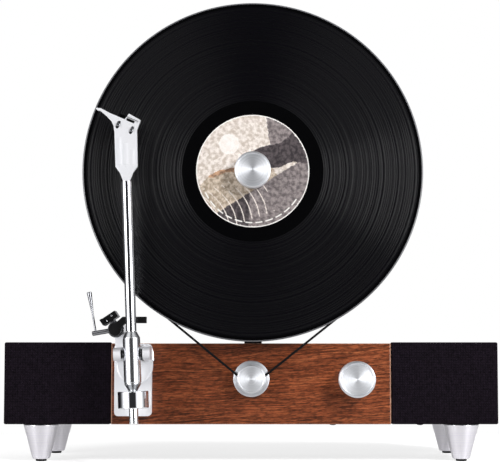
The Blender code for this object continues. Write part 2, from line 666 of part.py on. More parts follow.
def build_platter(axis):
    """Everything that turns with the record."""
    rear = HOUSING_FLOOR + GAP - COLUMN_SETBACK + GAP
    collar = PLATTER_REAR - GAP
    tip = RECORD_REAR - GAP
    spindle = [(0, rear), (SPINDLE_RADIUS, rear), (SPINDLE_RADIUS, collar - SPINDLE_COLLAR_THICKNESS),
               (SPINDLE_COLLAR_RADIUS, collar - SPINDLE_COLLAR_THICKNESS), (SPINDLE_COLLAR_RADIUS, collar),
               (SPINDLE_RADIUS, collar), (SPINDLE_RADIUS, tip), (SPINDLE_TIP_RADIUS, tip),
               (SPINDLE_TIP_RADIUS, SPINDLE_TIP), (0, SPINDLE_TIP)]
    turned("spindle", spindle, "steel", axis)
    bore = SPINDLE_RADIUS + GAP
    web = PLATTER_REAR + PLATTER_WEB_DEPTH
    inner = PLATTER_RADIUS - PLATTER_RIM_WIDTH
    floor = GROOVE_FLOOR_WIDTH / 2
    platter = [(bore, PLATTER_REAR), (PLATTER_HUB_RADIUS, PLATTER_REAR), (PLATTER_HUB_RADIUS, web),
               (inner, web), (inner, PLATTER_REAR), (PLATTER_RADIUS, PLATTER_REAR),
               (PLATTER_RADIUS, BELT_PLANE - floor - GROOVE_FLARE), (GROOVE_RADIUS, BELT_PLANE - floor),
               (GROOVE_RADIUS, BELT_PLANE + floor), (PLATTER_RADIUS, BELT_PLANE + floor + GROOVE_FLARE),
               (PLATTER_RADIUS, PLATTER_FRONT), (bore, PLATTER_FRONT)]
    turned("platter", platter, "black_metal", axis, steps=FINE_STEPS)
    mat = PLATTER_FRONT + GAP
    ring = [(bore, mat), (MAT_RADIUS, mat), (MAT_RADIUS, mat + MAT_THICKNESS), (bore, mat + MAT_THICKNESS)]
    turned("slip_mat", ring, "rubber", axis, steps=FINE_STEPS)
    groove = RECORD_REAR + RECORD_THICKNESS
    bead = RECORD_RADIUS - RECORD_BEAD_WIDTH
    record = [(RECORD_HOLE_RADIUS, RECORD_REAR), (RECORD_RADIUS - RECORD_EDGE, RECORD_REAR),
              (RECORD_RADIUS, RECORD_REAR + RECORD_EDGE), (RECORD_RADIUS, RECORD_FRONT - RECORD_EDGE),
              (RECORD_RADIUS - RECORD_EDGE, RECORD_FRONT), (bead, RECORD_FRONT), (bead - RECORD_EDGE, groove),
              (LABEL_RADIUS + RECORD_EDGE, groove), (LABEL_RADIUS, RECORD_FRONT),
              (RECORD_HOLE_RADIUS, RECORD_FRONT)]
    turned("record", record, "vinyl", axis, steps=FINE_STEPS)
    front = LABEL_REAR + LABEL_THICKNESS
    label = [(RECORD_HOLE_RADIUS, LABEL_REAR), (LABEL_RADIUS, LABEL_REAR), (LABEL_RADIUS, front),
             (RECORD_HOLE_RADIUS, front)]
    turned("record_label", label, "paper", axis, steps=FINE_STEPS)


def build_clamp(axis):
    """The record clamp, which lifts off the spindle towards the viewer."""
    front = CLAMP_REAR + CLAMP_LENGTH
    edge = EDGE_CHAMFER
    bore = SPINDLE_TIP_RADIUS + GAP
    floor = SPINDLE_TIP + GAP
    profile = [(0, floor), (bore, floor), (bore, CLAMP_REAR), (CLAMP_RADIUS - edge, CLAMP_REAR),
               (CLAMP_RADIUS, CLAMP_REAR + edge), (CLAMP_RADIUS, front - edge), (CLAMP_RADIUS - edge, front),
               (0, front - CLAMP_DISH)]
    turned("record_clamp", profile, "spun_aluminium", axis)


def build_drive(face, axis):
    """The motor behind the baffle, and the shaft and pulley that turn."""
    rear = BAFFLE_REAR - GAP
    bore = MOTOR_SHAFT_RADIUS + RUN_GAP
    floor = rear - MOTOR_LENGTH + MOTOR_FLOOR
    can = [(0, rear - MOTOR_LENGTH), (MOTOR_RADIUS - EDGE_CHAMFER, rear - MOTOR_LENGTH),
           (MOTOR_RADIUS, rear - MOTOR_LENGTH + EDGE_CHAMFER), (MOTOR_RADIUS, rear), (bore, rear),
           (bore, floor), (0, floor)]
    turned("motor", can, "steel", face, at=(PULLEY_X, PULLEY_HEIGHT, 0))
    shaft = [(0, floor + GAP), (MOTOR_SHAFT_RADIUS, floor + GAP), (MOTOR_SHAFT_RADIUS, MOTOR_SHAFT_TIP),
             (0, MOTOR_SHAFT_TIP)]
    turned("motor_shaft", shaft, "steel", axis, steps=SMALL_STEPS)
    flange = PULLEY_REAR + PULLEY_FLANGE_THICKNESS
    cap = flange + PULLEY_GROOVE_WIDTH
    front = cap + PULLEY_CAP_THICKNESS
    edge = EDGE_CHAMFER
    pulley = [(0, MOTOR_SHAFT_TIP + GAP), (MOTOR_SHAFT_RADIUS + GAP, MOTOR_SHAFT_TIP + GAP),
              (MOTOR_SHAFT_RADIUS + GAP, PULLEY_REAR), (PULLEY_FLANGE_RADIUS - edge, PULLEY_REAR),
              (PULLEY_FLANGE_RADIUS, PULLEY_REAR + edge), (PULLEY_FLANGE_RADIUS, flange - edge),
              (PULLEY_FLANGE_RADIUS - edge, flange), (PULLEY_GROOVE_RADIUS, flange),
              (PULLEY_GROOVE_RADIUS, cap),
              (PULLEY_CAP_RADIUS, cap), (PULLEY_CAP_RADIUS, front - edge), (PULLEY_CAP_RADIUS - edge, front),
              (0, front - CLAMP_DISH)]
    turned("drive_pulley", pulley, "spun_aluminium", axis)


def belt_route():
    """Centre line of the belt, round the platter's groove and the pulley's groove."""
    top = Vector((RECORD_X, RECORD_HEIGHT))
    low = Vector((PULLEY_X, PULLEY_HEIGHT))
    span = low - top
    lean = math.acos((BELT_TOP_RADIUS - BELT_LOW_RADIUS) / span.length)
    aim = math.atan2(span.y, span.x)
    over = arc(top, BELT_TOP_RADIUS, aim + lean, aim - lean + 2 * math.pi, BELT_TOP_STEPS)
    under = arc(low, BELT_LOW_RADIUS, aim - lean, aim + lean, BELT_LOW_STEPS)
    return over + under


def build_belt(face):
    """The round belt, a closed tube along its route."""
    route = [Vector((x, y, BELT_PLANE)) for x, y in belt_route()]
    bm = bmesh.new()
    rings = []
    for index, point in enumerate(route):
        along = (route[(index + 1) % len(route)] - route[index - 1]).normalized()
        side = along.cross(Vector((0, 0, 1)))
        ring = []
        for step in range(BELT_SIDES):
            angle = 2 * math.pi * step / BELT_SIDES
            offset = math.cos(angle) * side + math.sin(angle) * Vector((0, 0, 1))
            ring.append(bm.verts.new(point + BELT_RADIUS * offset))
        rings.append(ring)
    for index, ring in enumerate(rings):
        other = rings[index - 1]
        for i in range(BELT_SIDES):
            j = (i + 1) % BELT_SIDES
            bm.faces.new((other[i], other[j], ring[j], ring[i]))
    add_piece("drive_belt", bm, "rubber", face)


def build_volume(face, axis):
    """The volume knob with its shaft, and the potentiometer that holds it."""
    front = KNOB_REAR + KNOB_LENGTH
    edge = EDGE_CHAMFER
    knob = [(0, -KNOB_SHAFT_REACH), (KNOB_SHAFT_RADIUS, -KNOB_SHAFT_REACH), (KNOB_SHAFT_RADIUS, KNOB_REAR),
            (KNOB_RADIUS - edge, KNOB_REAR), (KNOB_RADIUS, KNOB_REAR + edge), (KNOB_RADIUS, front - edge),
            (KNOB_RADIUS - edge, front), (0, front - KNOB_DISH)]
    turned("volume_knob", knob, "spun_aluminium", axis)
    rear = BAFFLE_REAR - GAP
    bore = KNOB_SHAFT_RADIUS + RUN_GAP
    floor = -KNOB_SHAFT_REACH - GAP
    body = [(0, rear - POT_DEPTH), (POT_RADIUS, rear - POT_DEPTH), (POT_RADIUS, rear),
            (POT_BUSH_RADIUS, rear),
            (POT_BUSH_RADIUS, -POT_BUSH_SETBACK), (bore, -POT_BUSH_SETBACK), (bore, floor), (0, floor)]
    turned("volume_potentiometer", body, "steel", face, at=(KNOB_X, KNOB_HEIGHT, 0))


def build_electronics(face):
    """Power inlet, and the amplifier board that carries it inside the rear panel."""
    inlet = block("power_inlet", (INLET_X - INLET_WIDTH / 2, INLET_Z - INLET_HEIGHT / 2, -CABINET_DEPTH),
                  (INLET_X + INLET_WIDTH / 2, INLET_Z + INLET_HEIGHT / 2, INLET_INNER_END), "black_plastic",
                  face)
    drill(inlet, "inlet_bore", INLET_BORE_RADIUS, -CABINET_DEPTH - OVERRUN, INLET_BORE_DEPTH - CABINET_DEPTH,
          face, (INLET_X, INLET_Z, 0))
    low = INNER_LOW + AMPLIFIER_MARGIN
    high = INNER_HIGH - AMPLIFIER_MARGIN
    rear = INLET_INNER_END + GAP
    board = block("amplifier_board", (AMPLIFIER_LOW_X, low, rear),
                  (AMPLIFIER_HIGH_X, high, rear + CIRCUIT_THICKNESS), "circuit", face)
    middle = (AMPLIFIER_LOW_X + AMPLIFIER_HIGH_X) / 2
    sink = block("heatsink_shape", (middle - HEATSINK_WIDTH / 2, DRIVER_Z - HEATSINK_HEIGHT / 2, rear + GAP),
                 (middle + HEATSINK_WIDTH / 2, DRIVER_Z + HEATSINK_HEIGHT / 2, rear + HEATSINK_DEPTH), None,
                 face)
    apply_tool(board, sink, "UNION")


def build_buttons(face):
    """Two push buttons under the cabinet and the small board that holds their switches."""
    low = CABINET_BASE - BUTTON_RISE
    seat = INNER_LOW
    dome = arc((0, low + BUTTON_RADIUS), BUTTON_RADIUS, -math.pi / 2, 0, CORNER_STEPS)
    profile = [(0, low)] + dome[1:] + [(BUTTON_RADIUS, seat), (BUTTON_FLANGE_RADIUS, seat),
                                       (BUTTON_FLANGE_RADIUS, seat + BUTTON_FLANGE_THICKNESS),
                                       (BUTTON_STEM_RADIUS, seat + BUTTON_FLANGE_THICKNESS),
                                       (BUTTON_STEM_RADIUS, BUTTON_STEM_TOP), (0, BUTTON_STEM_TOP)]
    for name, x in zip(("power", "source"), BUTTON_X):
        axis = add_empty(f"{name}_button_axis", face, (x, 0, -BUTTON_DEPTH))
        turned(f"{name}_button", profile, "black_plastic", axis, turn=UP_ARM, steps=SMALL_STEPS)
    board = BUTTON_STEM_TOP + BUTTON_TRAVEL + GAP
    block("button_board", (BUTTON_X[0] - BUTTON_BOARD_MARGIN, board, BAFFLE_REAR - GAP - BUTTON_BOARD_DEPTH),
          (BUTTON_X[1] + BUTTON_BOARD_MARGIN, board + CIRCUIT_THICKNESS, BAFFLE_REAR - GAP), "circuit", face)


def build_tonearm_base(face):
    """The fixed plate with the neck that carries the cueing device, and the screw from behind."""
    pivot = add_empty("pivot_place", face, (PIVOT_X, PIVOT_HEIGHT, 0))
    middle = (BASE_OFFSET_X, BASE_TOP - BASE_HEIGHT / 2)
    outline = rounded_rectangle(BASE_WIDTH, BASE_HEIGHT, BASE_CORNER, middle)
    plate = prism("tonearm_base", outline, GAP, BASE_FRONT, "cast_aluminium", pivot)
    low, high = NECK_SETBACK, NECK_SETBACK + NECK_THICKNESS
    left = BASE_OFFSET_X - BASE_WIDTH / 2 + GAP
    neck = [(left, NECK_FOOT), (-NECK_WAIST_RIGHT, NECK_FOOT), (-NECK_WAIST_RIGHT, NECK_WAIST),
            (CUE_X + CUE_RADIUS * CUE_FLANK_SHARE, CUE_Y), (CUE_X - CUE_RADIUS * CUE_FLANK_SHARE, CUE_Y),
            (-NECK_WAIST_LEFT, NECK_WAIST)]
    apply_tool(plate, prism("neck_shape", neck, low, high, None, pivot), "UNION")
    ring = arc((CUE_X, CUE_Y), CUE_RADIUS, 0, 2 * math.pi * (1 - 1 / ROUND_STEPS), ROUND_STEPS - 1)
    apply_tool(plate, prism("neck_ring_shape", ring, low - GAP / 2, high - GAP / 2, None, pivot), "UNION")
    ear_end = Vector(park_point(CLIP_DISTANCE))
    along = (ear_end - Vector((CUE_X, CUE_Y))).normalized()
    side = Vector((-along.y, along.x)) * EAR_HALF_WIDTH
    start = Vector((CUE_X, CUE_Y)) + along * (CUE_RADIUS / 2)
    ear = [tuple(start - side), tuple(ear_end - side), tuple(ear_end + side), tuple(start + side)]
    apply_tool(plate, prism("ear_shape", ear, low + GAP, high + GAP / 2, None, pivot), "UNION")
    sleeve = [(0, -FACE_THICKNESS + GAP), (BASE_SLEEVE_RADIUS, -FACE_THICKNESS + GAP),
              (BASE_SLEEVE_RADIUS, GAP * 2), (0, GAP * 2)]
    apply_tool(plate, turned("sleeve_shape", sleeve, None, pivot, steps=SMALL_STEPS), "UNION")
    drill(plate, "swing_bore", YOKE_SPINDLE_RADIUS + RUN_GAP, -FACE_THICKNESS - OVERRUN, BASE_FRONT + OVERRUN,
          pivot)
    place = (0, -BASE_SCREW_DROP, 0)
    bite = GAP + BASE_SCREW_BITE
    drill(plate, "base_thread", BASE_SCREW_RADIUS + GAP, -OVERRUN, bite + GAP, pivot, place)
    head = -FACE_THICKNESS - GAP
    screw = [(0, head - BASE_SCREW_HEAD), (BASE_SCREW_HEAD_RADIUS, head - BASE_SCREW_HEAD),
             (BASE_SCREW_HEAD_RADIUS, head), (BASE_SCREW_RADIUS, head), (BASE_SCREW_RADIUS, bite), (0, bite)]
    turned("tonearm_base_screw", screw, "steel", pivot, place, steps=SMALL_STEPS)
    return pivot


def park_point(distance, across=0):
    """A point on the parked arm's axis, or beside it, seen from the front and taken from the pivot."""
    angle = ARM_LEAN + PARK_SWING
    x = -distance * math.sin(angle) + across * math.cos(angle)
    y = distance * math.cos(angle) + across * math.sin(angle)
    return (x, y)


def build_yoke(swing):
    """The yoke that swings the arm across the record, with a tilt bearing in each post."""
    half = YOKE_WIDTH / 2
    shoulder = YOKE_SHOULDER
    top = arc((half - shoulder, YOKE_TOP - shoulder), shoulder, 0, math.pi / 2, CORNER_STEPS)
    top += arc((shoulder - half, YOKE_TOP - shoulder), shoulder, math.pi / 2, math.pi, CORNER_STEPS)
    outline = top + arc((0, -YOKE_DROP), half, math.pi, 2 * math.pi, SMALL_STEPS)
    yoke = prism("swing_yoke", outline, YOKE_REAR, YOKE_FRONT, "cast_aluminium", swing)
    spindle = [(0, -FACE_THICKNESS + 2 * GAP), (YOKE_SPINDLE_RADIUS, -FACE_THICKNESS + 2 * GAP),
               (YOKE_SPINDLE_RADIUS, YOKE_REAR + GAP), (0, YOKE_REAR + GAP)]
    apply_tool(yoke, turned("yoke_spindle_shape", spindle, None, swing, steps=SMALL_STEPS), "UNION")
    for name, side in (("left", -1), ("right", 1)):
        # The post is drawn from the side, with its height to the viewer along minus x, and extruded along x.
        nose = arc((-ARM_AXIS_DEPTH, 0), POST_RADIUS, math.pi / 2, 3 * math.pi / 2, 2 * CORNER_STEPS)
        sketch = [(GAP - YOKE_FRONT, POST_RADIUS)] + nose + [(GAP - YOKE_FRONT, -POST_RADIUS)]
        low, high = sorted((side * POST_INNER, side * (POST_OUTER - GAP)))
        apply_tool(yoke, prism(f"{name}_post_shape", sketch, low, high, None, swing, turn=SIDEWAYS), "UNION")
        low, high = sorted((side * (POST_INNER - OVERRUN),
                            side * (POST_INNER + TILT_BEARING_LENGTH + 2 * GAP)))
        drill(yoke, f"{name}_bearing_seat", TILT_BEARING_RADIUS + GAP, low, high, swing,
              (0, 0, ARM_AXIS_DEPTH), SIDEWAYS)
        low, high = sorted((side * (POST_INNER + GAP), side * (POST_INNER + GAP + TILT_BEARING_LENGTH)))
        bore = TILT_AXLE_RADIUS + RUN_GAP
        ring = [(bore, low), (TILT_BEARING_RADIUS, low), (TILT_BEARING_RADIUS, high), (bore, high)]
        turned(f"{name}_tilt_bearing", ring, "steel", swing, (0, 0, ARM_AXIS_DEPTH), SIDEWAYS, SMALL_STEPS)


def build_arm(tilt):
    """The pivot block with its rear stub, the tilt axle and the arm tube."""
    ring = -BLOCK_BOTTOM + BLOCK_BOTTOM_CONE
    spigot = SPIGOT_RADIUS + GAP
    seat = BLOCK_TOP - SPIGOT_LENGTH
    profile = [(0, -STUB_END), (STUB_RADIUS - STUB_CHAMFER, -STUB_END),
               (STUB_RADIUS, STUB_CHAMFER - STUB_END),
               (STUB_RADIUS, -BLOCK_BOTTOM), (BLOCK_RADIUS, ring), (BLOCK_RADIUS - BLOCK_RING, ring),
               (BLOCK_RADIUS - BLOCK_RING, ring + BLOCK_RING_WIDTH), (BLOCK_RADIUS, ring + BLOCK_RING_WIDTH),
               (BLOCK_RADIUS, BLOCK_TOP - BLOCK_TOP_CONE), (BLOCK_TOP_RADIUS, BLOCK_TOP), (spigot, BLOCK_TOP),
               (spigot, seat), (0, seat)]
    pivot_block = turned("pivot_block", profile, "chrome", tilt, turn=UP_ARM)
    half = POST_INNER + TILT_BEARING_LENGTH
    drill(pivot_block, "axle_hole", TILT_AXLE_RADIUS + RUN_GAP, -half, half, tilt, turn=SIDEWAYS)
    axle = [(0, -half), (TILT_AXLE_RADIUS, -half), (TILT_AXLE_RADIUS, half), (0, half)]
    turned("tilt_axle", axle, "steel", tilt, turn=SIDEWAYS, steps=SMALL_STEPS)
    low = BLOCK_TOP + GAP
    neck = NECK_PIN_RADIUS + GAP
    floor = TUBE_TOP - NECK_PIN_LENGTH - GAP
    tube = [(0, seat + GAP), (SPIGOT_RADIUS, seat + GAP), (SPIGOT_RADIUS, low), (TUBE_RADIUS, low),
            (TUBE_RADIUS, TUBE_TOP), (neck, TUBE_TOP), (neck, floor), (0, floor)]
    turned("arm_tube", tube, "chrome", tilt, turn=UP_ARM, steps=ROUND_STEPS)


def build_counterweight(slide):
    """The counterweight, which slides along the rear stub."""
    low = BLOCK_BOTTOM + GAP
    high = low + WEIGHT_LENGTH
    bore = STUB_RADIUS + GAP
    edge = EDGE_CHAMFER
    profile = [(bore, -high), (WEIGHT_RADIUS - edge, -high), (WEIGHT_RADIUS, edge - high),
               (WEIGHT_RADIUS, -low - edge), (WEIGHT_RADIUS - edge, -low), (bore, -low)]
    turned("counterweight", profile, "chrome", slide, turn=UP_ARM)


def build_headshell(tilt):
    """The flat headshell with its finger lift, two slots for the screws and a slot across its nose."""
    start = TUBE_TOP + GAP
    outline = [(HEADSHELL_NECK_HALF, start)]
    outline += [(x * HEADSHELL_HALF_WIDTH, start + y * HEADSHELL_LENGTH)
                for x, y in reversed(HEADSHELL_SHARES)]
    outline += [(-HEADSHELL_HALF_WIDTH * NECK_FLANK_SHARE, start + HEADSHELL_LENGTH * NECK_RISE_SHARE),
                (-HEADSHELL_NECK_HALF, start)]
    rear = HEADSHELL_REAR - ARM_AXIS_DEPTH
    shell = prism("headshell", outline, rear, rear + HEADSHELL_THICKNESS, "cast_aluminium", tilt)
    pin = [(0, start - NECK_PIN_LENGTH), (NECK_PIN_RADIUS, start - NECK_PIN_LENGTH),
           (NECK_PIN_RADIUS, start + OVERRUN), (0, start + OVERRUN)]
    apply_tool(shell, turned("neck_pin_shape", pin, None, tilt, turn=UP_ARM, steps=SMALL_STEPS), "UNION")
    seat = add_empty("cartridge_place", tilt, (0, TUBE_TOP + SCREW_U, 0), (0, 0, -OFFSET_ANGLE))
    low, high = rear - OVERRUN, rear + HEADSHELL_THICKNESS + OVERRUN
    for name, side in (("left", -1), ("right", 1)):
        x = side * SCREW_SPACING / 2
        end = SLOT_LENGTH / 2 - SLOT_HALF_WIDTH
        outline = arc((x, end), SLOT_HALF_WIDTH, 0, math.pi, CORNER_STEPS)
        outline += arc((x, -end), SLOT_HALF_WIDTH, math.pi, 2 * math.pi, CORNER_STEPS)
        apply_tool(shell, prism(f"{name}_slot_shape", outline, low, high, None, seat), "DIFFERENCE")
        head = rear + HEADSHELL_THICKNESS + GAP
        bite = rear - GAP - SCREW_BITE
        screw = [(0, bite), (SCREW_RADIUS, bite), (SCREW_RADIUS, head), (SCREW_HEAD_RADIUS, head),
                 (SCREW_HEAD_RADIUS, head + SCREW_HEAD_HEIGHT), (0, head + SCREW_HEAD_HEIGHT)]
        turned(f"{name}_cartridge_screw", screw, "steel", seat, (x, 0, 0), steps=SMALL_STEPS)
    nose = block("nose_slot_shape", (NOSE_SLOT_SHIFT - NOSE_SLOT_LENGTH / 2, NOSE_SLOT_REACH, low),
                 (NOSE_SLOT_SHIFT + NOSE_SLOT_LENGTH / 2, NOSE_SLOT_REACH + NOSE_SLOT_WIDTH, high), None,
                 seat)
    apply_tool(shell, nose, "DIFFERENCE")
    build_cartridge(seat)


def build_cartridge(seat):
    """The cartridge behind the headshell and the stylus that reaches the record."""
    top = HEADSHELL_REAR - ARM_AXIS_DEPTH - GAP
    depth = HEADSHELL_REAR - GAP - STYLUS_FRONT
    deep = top - depth * CARTRIDGE_DEEP_SHARE
    half = CARTRIDGE_WIDTH / 2
    back = -CARTRIDGE_LENGTH / 2 + CARTRIDGE_REAR_SHIFT
    nose = back + CARTRIDGE_LENGTH
    # Side view: full length at the headshell, drawn in to a shorter underside.
    side = [(-top, back), (-top, nose), (-top - (top - deep) * CARTRIDGE_NOSE_SHARE, nose),
            (-deep, nose - STYLUS_DEPTH), (-deep, back + STYLUS_DEPTH)]
    body = prism("cartridge", [(x, y) for x, y in side], -half, half, "black_plastic", seat, turn=SIDEWAYS)
    for name, sign in (("left", -1), ("right", 1)):
        drill(body, f"{name}_cartridge_thread", SCREW_RADIUS + GAP, top - SCREW_BITE - GAP, top + OVERRUN,
              seat, (sign * SCREW_SPACING / 2, 0, 0))
    front = deep - GAP
    tip = STYLUS_FRONT - ARM_AXIS_DEPTH
    place = nose - STYLUS_DEPTH - STYLUS_LENGTH / 2
    holder = block("stylus", (-STYLUS_WIDTH / 2, place - STYLUS_LENGTH / 2, front - STYLUS_DEPTH),
                   (STYLUS_WIDTH / 2, place + STYLUS_LENGTH / 2, front), "black_plastic", seat)
    needle = [(0, tip), (STYLUS_TIP_RADIUS, tip + STYLUS_TIP_RADIUS), (STYLUS_TIP_RADIUS, front - GAP),
              (0, front - GAP)]
    reach = place + STYLUS_LENGTH / 2 - 2 * STYLUS_TIP_RADIUS
    apply_tool(holder, turned("needle_shape", needle, None, seat, (0, reach, 0), steps=SMALL_STEPS), "UNION")


def build_cueing(pivot, lift, lever):
    """The housing on the base's neck, the lift bar behind the arm and the lever that works it."""
    bore = CUE_BORE_RADIUS
    head_bore = CUE_HEAD_RADIUS + GAP
    floor = CUE_FRONT - CUE_HEAD_BORE_DEPTH
    stem_low = floor + GAP - LIFT_STEM_LENGTH
    wall = stem_low - GAP
    housing = [(0, CUE_REAR), (CUE_RADIUS, CUE_REAR), (CUE_RADIUS, CUE_FRONT), (head_bore, CUE_FRONT),
               (head_bore, floor), (bore, floor), (bore, wall), (0, wall)]
    place = (CUE_X, CUE_Y, 0)
    shell = turned("cue_housing", housing, "cast_aluminium", pivot, place)
    drill(shell, "cue_shaft_hole", CUE_SHAFT_RADIUS + RUN_GAP, -CUE_RADIUS - OVERRUN, -CUE_BORE_RADIUS / 2,
          pivot, (CUE_X, CUE_Y, CUE_SHAFT_DEPTH), (0, math.radians(90), CUE_SHAFT_ANGLE))
    head = floor + GAP
    rear = LIFT_FRONT - LIFT_BAR_THICKNESS
    stem = [(0, stem_low), (LIFT_STEM_RADIUS, stem_low), (LIFT_STEM_RADIUS, head), (CUE_HEAD_RADIUS, head),
            (CUE_HEAD_RADIUS, LIFT_FRONT - GAP), (0, LIFT_FRONT - GAP)]
    piece = turned("cue_lift", stem, "black_metal", lift, steps=ROUND_STEPS)
    low, high = LIFT_BAR_LOW - CUE_Y, LIFT_BAR_LOW - CUE_Y + LIFT_BAR_HEIGHT
    half = LIFT_BAR_HEIGHT / 2
    bar = [(0, -half), (LIFT_ELBOW_X - CUE_X, low), (LIFT_BAR_END - CUE_X, low), (LIFT_BAR_END - CUE_X, high),
           (LIFT_ELBOW_X - CUE_X - half, high), (-half, half)]
    apply_tool(piece, prism("lift_bar_shape", bar, rear, LIFT_FRONT, None, lift), "UNION")
    inner = CUE_BORE_RADIUS + GAP
    rod = [(0, -CUE_SHAFT_END), (CUE_SHAFT_RADIUS, -CUE_SHAFT_END), (CUE_SHAFT_RADIUS, -inner), (0, -inner)]
    shaft = turned("cue_lever", rod, "chrome", lever, turn=SIDEWAYS, steps=SMALL_STEPS)
    neck = HANDLE_LENGTH * (1 - HANDLE_GRIP_SHARE)
    grip = [(0, 0), (HANDLE_ROD_RADIUS, 0), (HANDLE_ROD_RADIUS, neck), (HANDLE_GRIP_RADIUS, HANDLE_LENGTH),
            (0, HANDLE_LENGTH)]
    apply_tool(shaft, turned("handle_shape", grip, None, lever, (-HANDLE_REACH, 0, 0), UP_ARM, SMALL_STEPS),
               "UNION")


def build_arm_rest(pivot):
    """The black clip that the parked arm lies against, on a post from the base's ear."""
    half = CLIP_LENGTH / 2
    inner = TUBE_RADIUS + GAP
    centre = park_point(CLIP_DISTANCE)
    holder = add_empty("arm_rest_place", pivot, (centre[0], centre[1], 0), (0, 0, ARM_LEAN + PARK_SWING))
    low = -CLIP_WIDTH / 2
    clip = block("arm_rest_clip", (-half, low, CLIP_REAR), (half, -low, LIFT_FRONT), "black_plastic", holder)
    prong = block("prong_shape", (-half + GAP, low + GAP, LIFT_FRONT - OVERRUN),
                  (-inner, -low - GAP, CLIP_PRONG_FRONT), None, holder)
    apply_tool(clip, prong, "UNION")
    seat = NECK_SETBACK + NECK_THICKNESS + 2 * GAP
    stem = [(0, seat), (CLIP_STEM_RADIUS, seat), (CLIP_STEM_RADIUS, CLIP_REAR + OVERRUN),
            (0, CLIP_REAR + OVERRUN)]
    apply_tool(clip, turned("clip_stem_shape", stem, None, holder, steps=SMALL_STEPS), "UNION")


def build_record_player():
    """Build every piece of the record player."""
    clear_scene()
    face = add_empty("front_face", at=(0, FRONT_Y, 0), turn=(math.radians(90), 0, 0))
    build_cabinet(face)
    build_grilles(face)
    build_drivers(face)
    build_feet(face)
    build_column(face)
    platter_axis = add_empty("platter_axis", face, (RECORD_X, RECORD_HEIGHT, 0))
    build_platter(platter_axis)
    build_clamp(add_empty("clamp_axis", platter_axis))
    build_drive(face, add_empty("pulley_axis", face, (PULLEY_X, PULLEY_HEIGHT, 0)))
    build_belt(face)
    build_volume(face, add_empty("volume_axis", face, (KNOB_X, KNOB_HEIGHT, 0)))
    build_electronics(face)
    build_buttons(face)
    drill_cabinet(face)
    pivot = build_tonearm_base(face)
    swing = add_empty("arm_swing_axis", pivot, turn=(0, 0, ARM_LEAN))
    build_yoke(swing)
    tilt = add_empty("arm_tilt_axis", swing, (0, 0, ARM_AXIS_DEPTH))
    build_arm(tilt)
    build_counterweight(add_empty("counterweight_axis", tilt))
    build_headshell(tilt)
    lift = add_empty("cue_lift_axis", pivot, (CUE_X, CUE_Y, 0))
    lever = add_empty("cue_lever_axis", pivot, (CUE_X, CUE_Y, CUE_SHAFT_DEPTH), (0, 0, CUE_SHAFT_ANGLE))
    build_cueing(pivot, lift, lever)
    build_arm_rest(pivot)


build_record_player()
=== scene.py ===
"""Looks of the vertical record player: finishes, smooth turned parts, cloth, light and camera.

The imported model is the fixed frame. Every piece here gives one of its nodes a finish, or stands for it
with a finer mesh of the same size in the same place. Sizes are in millimetres. Places are counted from the
middle of the cabinet, up from the floor and out of the cabinet's face, until the function at() turns them
to metres. Only the studio is written in metres.
"""

import logging
import math
from dataclasses import dataclass, field
from enum import Enum
from typing import Iterable, Sequence

import bmesh
import bpy
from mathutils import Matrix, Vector, noise


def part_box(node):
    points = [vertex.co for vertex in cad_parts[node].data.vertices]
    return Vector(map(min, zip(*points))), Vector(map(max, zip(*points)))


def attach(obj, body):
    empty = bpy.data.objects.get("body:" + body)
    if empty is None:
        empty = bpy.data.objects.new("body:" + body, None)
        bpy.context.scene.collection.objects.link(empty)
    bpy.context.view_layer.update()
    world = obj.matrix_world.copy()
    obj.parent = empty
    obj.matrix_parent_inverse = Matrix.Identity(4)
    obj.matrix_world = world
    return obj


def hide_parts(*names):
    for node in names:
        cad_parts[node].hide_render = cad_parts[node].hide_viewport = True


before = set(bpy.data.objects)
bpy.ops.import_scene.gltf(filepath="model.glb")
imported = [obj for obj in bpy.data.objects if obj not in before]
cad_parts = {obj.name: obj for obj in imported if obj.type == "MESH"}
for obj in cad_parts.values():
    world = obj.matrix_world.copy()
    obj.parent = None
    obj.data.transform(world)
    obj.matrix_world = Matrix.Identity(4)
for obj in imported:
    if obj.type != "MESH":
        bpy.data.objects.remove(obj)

LOG = logging.getLogger("record_player")

MM = 0.001
ORIGIN = Vector((0.0, 0.0, 0.0))
TOWARDS_VIEWER = Vector((0.0, -1.0, 0.0))
AWAY_FROM_VIEWER = Vector((0.0, 1.0, 0.0))
UPWARDS = Vector((0.0, 0.0, 1.0))

# Where the cabinet's face lies in the model's frame, in metres
FRONT_Y = -0.0409

# Places across and up that several sub-assemblies share, and the parked arm's lean to the left in degrees
SPINDLE = (1.5, 257.4)
ARM_PIVOT = (-102.6, 96.2)
ARM_LEAN = 2.1
ARM_UP = Vector((-math.sin(math.radians(ARM_LEAN)), 0.0, math.cos(math.radians(ARM_LEAN))))

# Limits for cleaning a mesh, in metres and radians
MERGE_DISTANCE = 0.000001
SAME_PLANE = 0.00005
FLAT_ANGLE = math.radians(1.0)
EDGE_ANGLE = math.radians(33.0)

# The least angles between faces that still show as an edge
CREASE_ANGLE = math.radians(40.0)
JOINED_CREASE = math.radians(30.0)
LATHE_CREASE = math.radians(24.0)

# A profile's corner flatter than this isn't eased, and easing takes at most this share of a side
STRAIGHT_ANGLE = math.radians(12.0)
EASED_SHARE = 0.45
LEAST_LENGTH = 1e-9
LEAST_RADIUS = 1e-6

# How squarely a face looks along the viewer's line to count as a front, and to keep the main finish
FRONT_FACING = 0.99
MAIN_FACING = 0.97

Tree = bpy.types.NodeTree
Socket = bpy.types.NodeSocket
Node = bpy.types.Node
Mesh = bpy.types.Mesh
BMesh = bmesh.types.BMesh

Profile = Sequence[tuple[float, float]]
Stops = Sequence[tuple[float, str]]
Span = tuple[float, float]
Place = tuple[float, float, float]
Colour = tuple[float, float, float, float]


